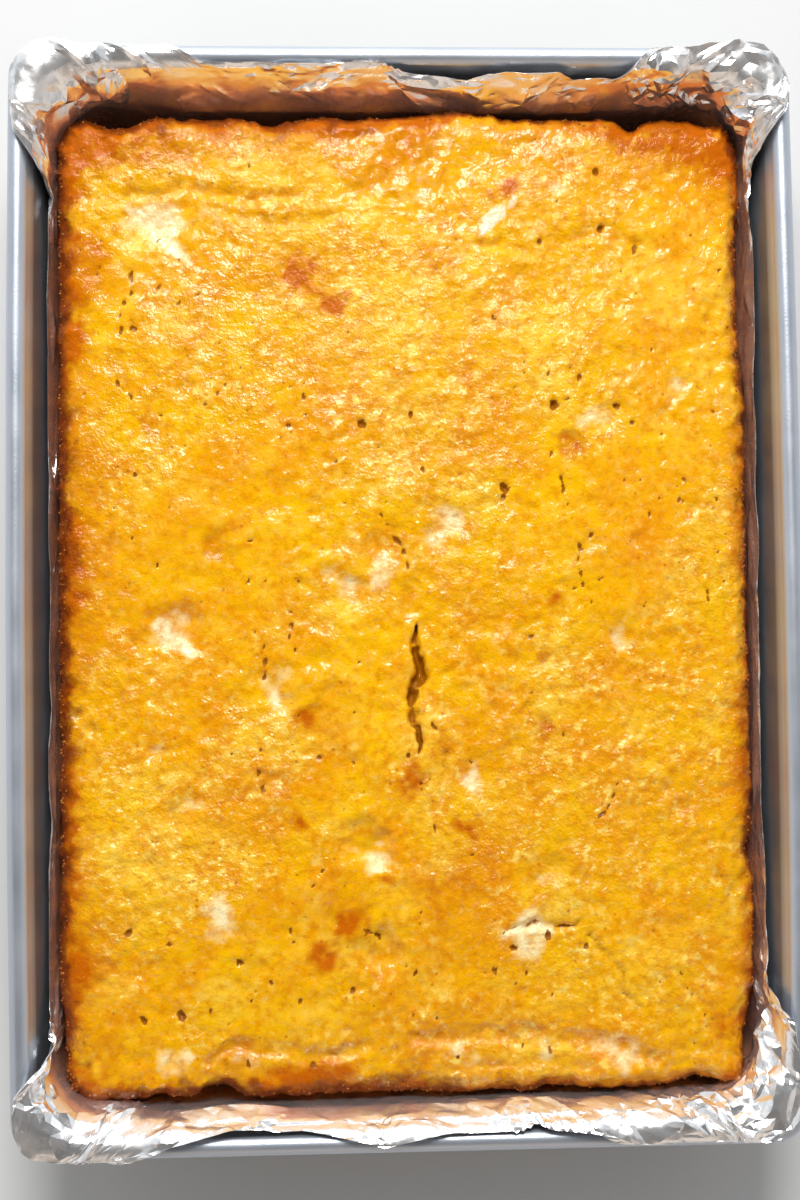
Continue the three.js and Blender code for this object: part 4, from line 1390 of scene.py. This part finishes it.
def pale_and_glare_places(x, y):
    """Pale patches and streaks: thin crust over fruit, and painted glare where hollows and folds face the
    window.
    """
    ragged_x, ragged_y = stray(x, y)
    blotchy = 0.4 + 1.3 * hills(ragged_x / 3.6, ragged_y / 3.6)
    pale_and_glare = np.clip(1.7 * patches(x, y, PALES_AND_GLARE) * blotchy - 0.4, 0, 0.9)
    streaked = tear(x, y, STREAKS_TORN)
    for line in STREAKS_AND_GLARE:
        pale_and_glare = np.maximum(pale_and_glare, 1.3 * near_line(*streaked, line))
    return pale_and_glare


def pit_and_crease_shade(x, y, toast_and_shade):
    """Painted shade in pores and deep furrows, and the toast with painted shade in the shallow furrows
    added.
    """
    ragged_x, ragged_y = stray(x, y)
    pit_shade = over_pores(ragged_x, ragged_y, 1.1, lambda pore: 0.5 + 0.8 * pore[2])
    broken = np.clip(1.6 * hills(x / 2.2, y / 2.8), 0, 1)
    torn = tear(x, y, FURROWS_TORN)
    for depth, line in FURROWS:
        # Painted shade in each furrow, darker where it is deeper
        shade = 0.3 * depth * broken * near_line(*torn, line) ** 1.5
        if depth > DEEP:
            pit_shade = np.maximum(pit_shade, shade)
        else:
            toast_and_shade = np.maximum(toast_and_shade, 0.45 * shade)
    return pit_shade, toast_and_shade


def bare_fruit(x, y):
    """The piece of banana that lies on the crust."""
    return np.clip(3 * around_fruit(x, y) - 0.7, 0, 0.85) * (0.5 + hills(x / 2.4, y / 1.6))


pit_shade, toast_and_shade = pit_and_crease_shade(plain_x, crust_y, toast_and_shade)
pale_and_glare, fruit = pale_and_glare_places(plain_x, crust_y), bare_fruit(plain_x, crust_y)
paint_crust("toast_and_shade", np.clip(toast_and_shade, 0, 1), SIDE_TOAST)
for name, values in (("pale_and_glare", pale_and_glare), ("pit_shade", pit_shade), ("fruit", fruit), ("burnt", burnt)):
    paint_crust(name, np.clip(values, 0, 1))
    print("mean of", name, "over the crust:", np.clip(values, 0, 1).mean().round(3))

face_outwards(cake)
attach(cake, "root")
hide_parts("banana_cake")

# %% [markdown]
# Crumbs break off where the crust is driest, along its edge. They are the typical job for
# instances: one small lump, laid on points that are scattered over the cake's surface, each
# turned and sized by chance. How many lie where is told by a number painted on the mesh.

# %% The tree that scatters crumbs
CRUMB_BROWNS = (0.22, 0.045, 0.006, 1), (0.5, 0.16, 0.01, 1)
# About each axis, in radians
FULL_TURN = (6.28, 6.28, 6.28)


def crumb_material():
    """Toasted crumb, a little browner than the crust."""
    material, shader, where = new_material("toasted_crumb")
    shade = spread(noise(where, 300, 2), 0.4, 0.6)
    fill(shader, {"Base Color": blend_colour(shade, *CRUMB_BROWNS), "Roughness": 0.6})
    return material


def crumb_tree():
    """The tree that lays small lumps where a mesh is painted dry."""
    numbers = {"Crumbs per square metre": 1000.0, "Smallest": 0.3, "Largest": 0.8, "Seed": 5}
    tree, given, result = new_tree("crumb_scatter", numbers)
    wanted = given.outputs
    dry = add(tree, "GeometryNodeInputNamedAttribute", {"Name": "dry"}, data_type="FLOAT")
    scatter_inputs = {
        "Mesh": wanted["Geometry"], "Seed": wanted["Seed"],
        "Density": times(dry.outputs["Attribute"], wanted["Crumbs per square metre"]),
    }
    scattered = add(tree, "GeometryNodeDistributePointsOnFaces", scatter_inputs)
    lump = add(tree, "GeometryNodeMeshIcoSphere", {"Radius": MM, "Subdivisions": 1}).outputs["Mesh"]
    turn_inputs = {"Min": (0, 0, 0), "Max": FULL_TURN, "Seed": wanted["Seed"]}
    turn = add(tree, "FunctionNodeRandomValue", turn_inputs, data_type="FLOAT_VECTOR")
    size = {}
    for axis in range(3):
        seed = plus(wanted["Seed"], float(axis + 1))
        range_inputs = {2: wanted["Smallest"], 3: wanted["Largest"], "Seed": seed}
        size[axis] = add(tree, "FunctionNodeRandomValue", range_inputs, data_type="FLOAT").outputs[1]
    scale = add(tree, "ShaderNodeCombineXYZ", size).outputs["Vector"]
    laid = {
        "Points": scattered.outputs["Points"], "Instance": lump,
        "Rotation": turn.outputs["Value"], "Scale": scale,
    }
    crumbs = add(tree, "GeometryNodeInstanceOnPoints", laid)
    finish(tree, crumbs.outputs["Instances"], crumb_material(), result)
    return tree


crumb_scatter = crumb_tree()
print("crumb_scatter has", len(crumb_scatter.nodes), "nodes")


# %% Scatter the crumbs
def scatter_crumbs():
    """Paints how dry the cake's edge is, and grows the crumbs on it."""
    near_edge = np.clip(1 - distance_from_edge(plain_x, plain_y) / 5, 0, 1) ** 2
    dry = near_edge * (0.2 + 1.2 * hills(plain_x / 15, plain_y / 15))
    paint_crust("dry", dry)
    values = {"Crumbs per square metre": 240000.0, "Smallest": 0.2, "Largest": 0.6, "Seed": 11}
    crumbs = grow("edge_crumbs", cake.data, crumb_scatter, values)
    crumbs.data.shade_smooth()
    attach(crumbs, "root")


scatter_crumbs()

# %% [markdown]
# The stage is a plain pale table. The light is soft and comes from beyond the far end of the
# pan, as from a window, with a pale room all round.

# %% Table and window
# In metres and watts
TABLE_HALF = 3.0
TABLE_GREYS = (0.66, 0.67, 0.67, 1), (0.74, 0.745, 0.75, 1)
WINDOW_PLACE = Vector((-0.06, 0.88, 1.12))
WINDOW_AIM = Vector((0, 0, 0.04))
WINDOW_SIZE = (0.6, 0.44)
WINDOW_POWER = 20.0
WINDOW_COLOUR = (1.0, 0.985, 0.96)


def stage_table():
    """A wide pale table for the pan to stand on."""
    material, shader, where = new_material("pale_table")
    shade = blend_colour(noise(where, 6, 4), *TABLE_GREYS)
    fill(shader, {"Base Color": shade, "Roughness": 0.8})
    half = TABLE_HALF / MM
    corners = [(half * x, half * y, 0) for x, y in ((-1, -1), (1, -1), (1, 1), (-1, 1))]
    shape("table", corners, [(0, 1, 2, 3)], material)


def window_light():
    """A soft rectangular light that points at the pan."""
    light = bpy.data.lights.new("window", "AREA")
    light.shape = "RECTANGLE"
    light.size, light.size_y = WINDOW_SIZE
    light.energy = WINDOW_POWER
    light.color = WINDOW_COLOUR
    window = new_object("window", light)
    window.location = WINDOW_PLACE
    window.rotation_euler = (WINDOW_PLACE - WINDOW_AIM).to_track_quat("Z", "Y").to_euler()


stage_table()
window_light()
print("the window is", round((WINDOW_PLACE - WINDOW_AIM).length, 2), "m from the pan")


# %% The room
WARM_SIDE, WINDOW_SIDE = (1.0, 0.87, 0.76, 1), (0.88, 0.94, 1.0, 1)


def pale_room():
    """A room that is bright and cool towards the window, dimmer and warmer elsewhere."""
    world = bpy.data.worlds.new("room")
    world.use_nodes = True
    tree = world.node_tree
    way = add(tree, "ShaderNodeTexCoord").outputs["Generated"]
    to = add(tree, "ShaderNodeSeparateXYZ", {0: way}).outputs
    glow = math_node("POWER", spread(to["Y"], -0.1, 1.0), 2.0)
    # The bright metal also mirrors what is straight above, a ceiling and a camera, both darker
    overhead = spread(to["Z"], 0.62, 0.85, 1.0, 0.24)
    level = times(plus(times(glow, 1.1), 0.6), overhead)
    things = spread(noise(way, 2.6, 2), 0.4, 0.6, 0.5, 1.4)
    tint = blend_colour(spread(to["Y"], -0.7, 0.2), WARM_SIDE, WINDOW_SIDE)
    fill(tree.nodes["Background"], {"Strength": times(level, things), "Color": tint})
    bpy.context.scene.world = world


pale_room()
bpy.context.scene.view_settings.view_transform = "Standard"
print("the room has", len(bpy.context.scene.world.node_tree.nodes), "nodes")
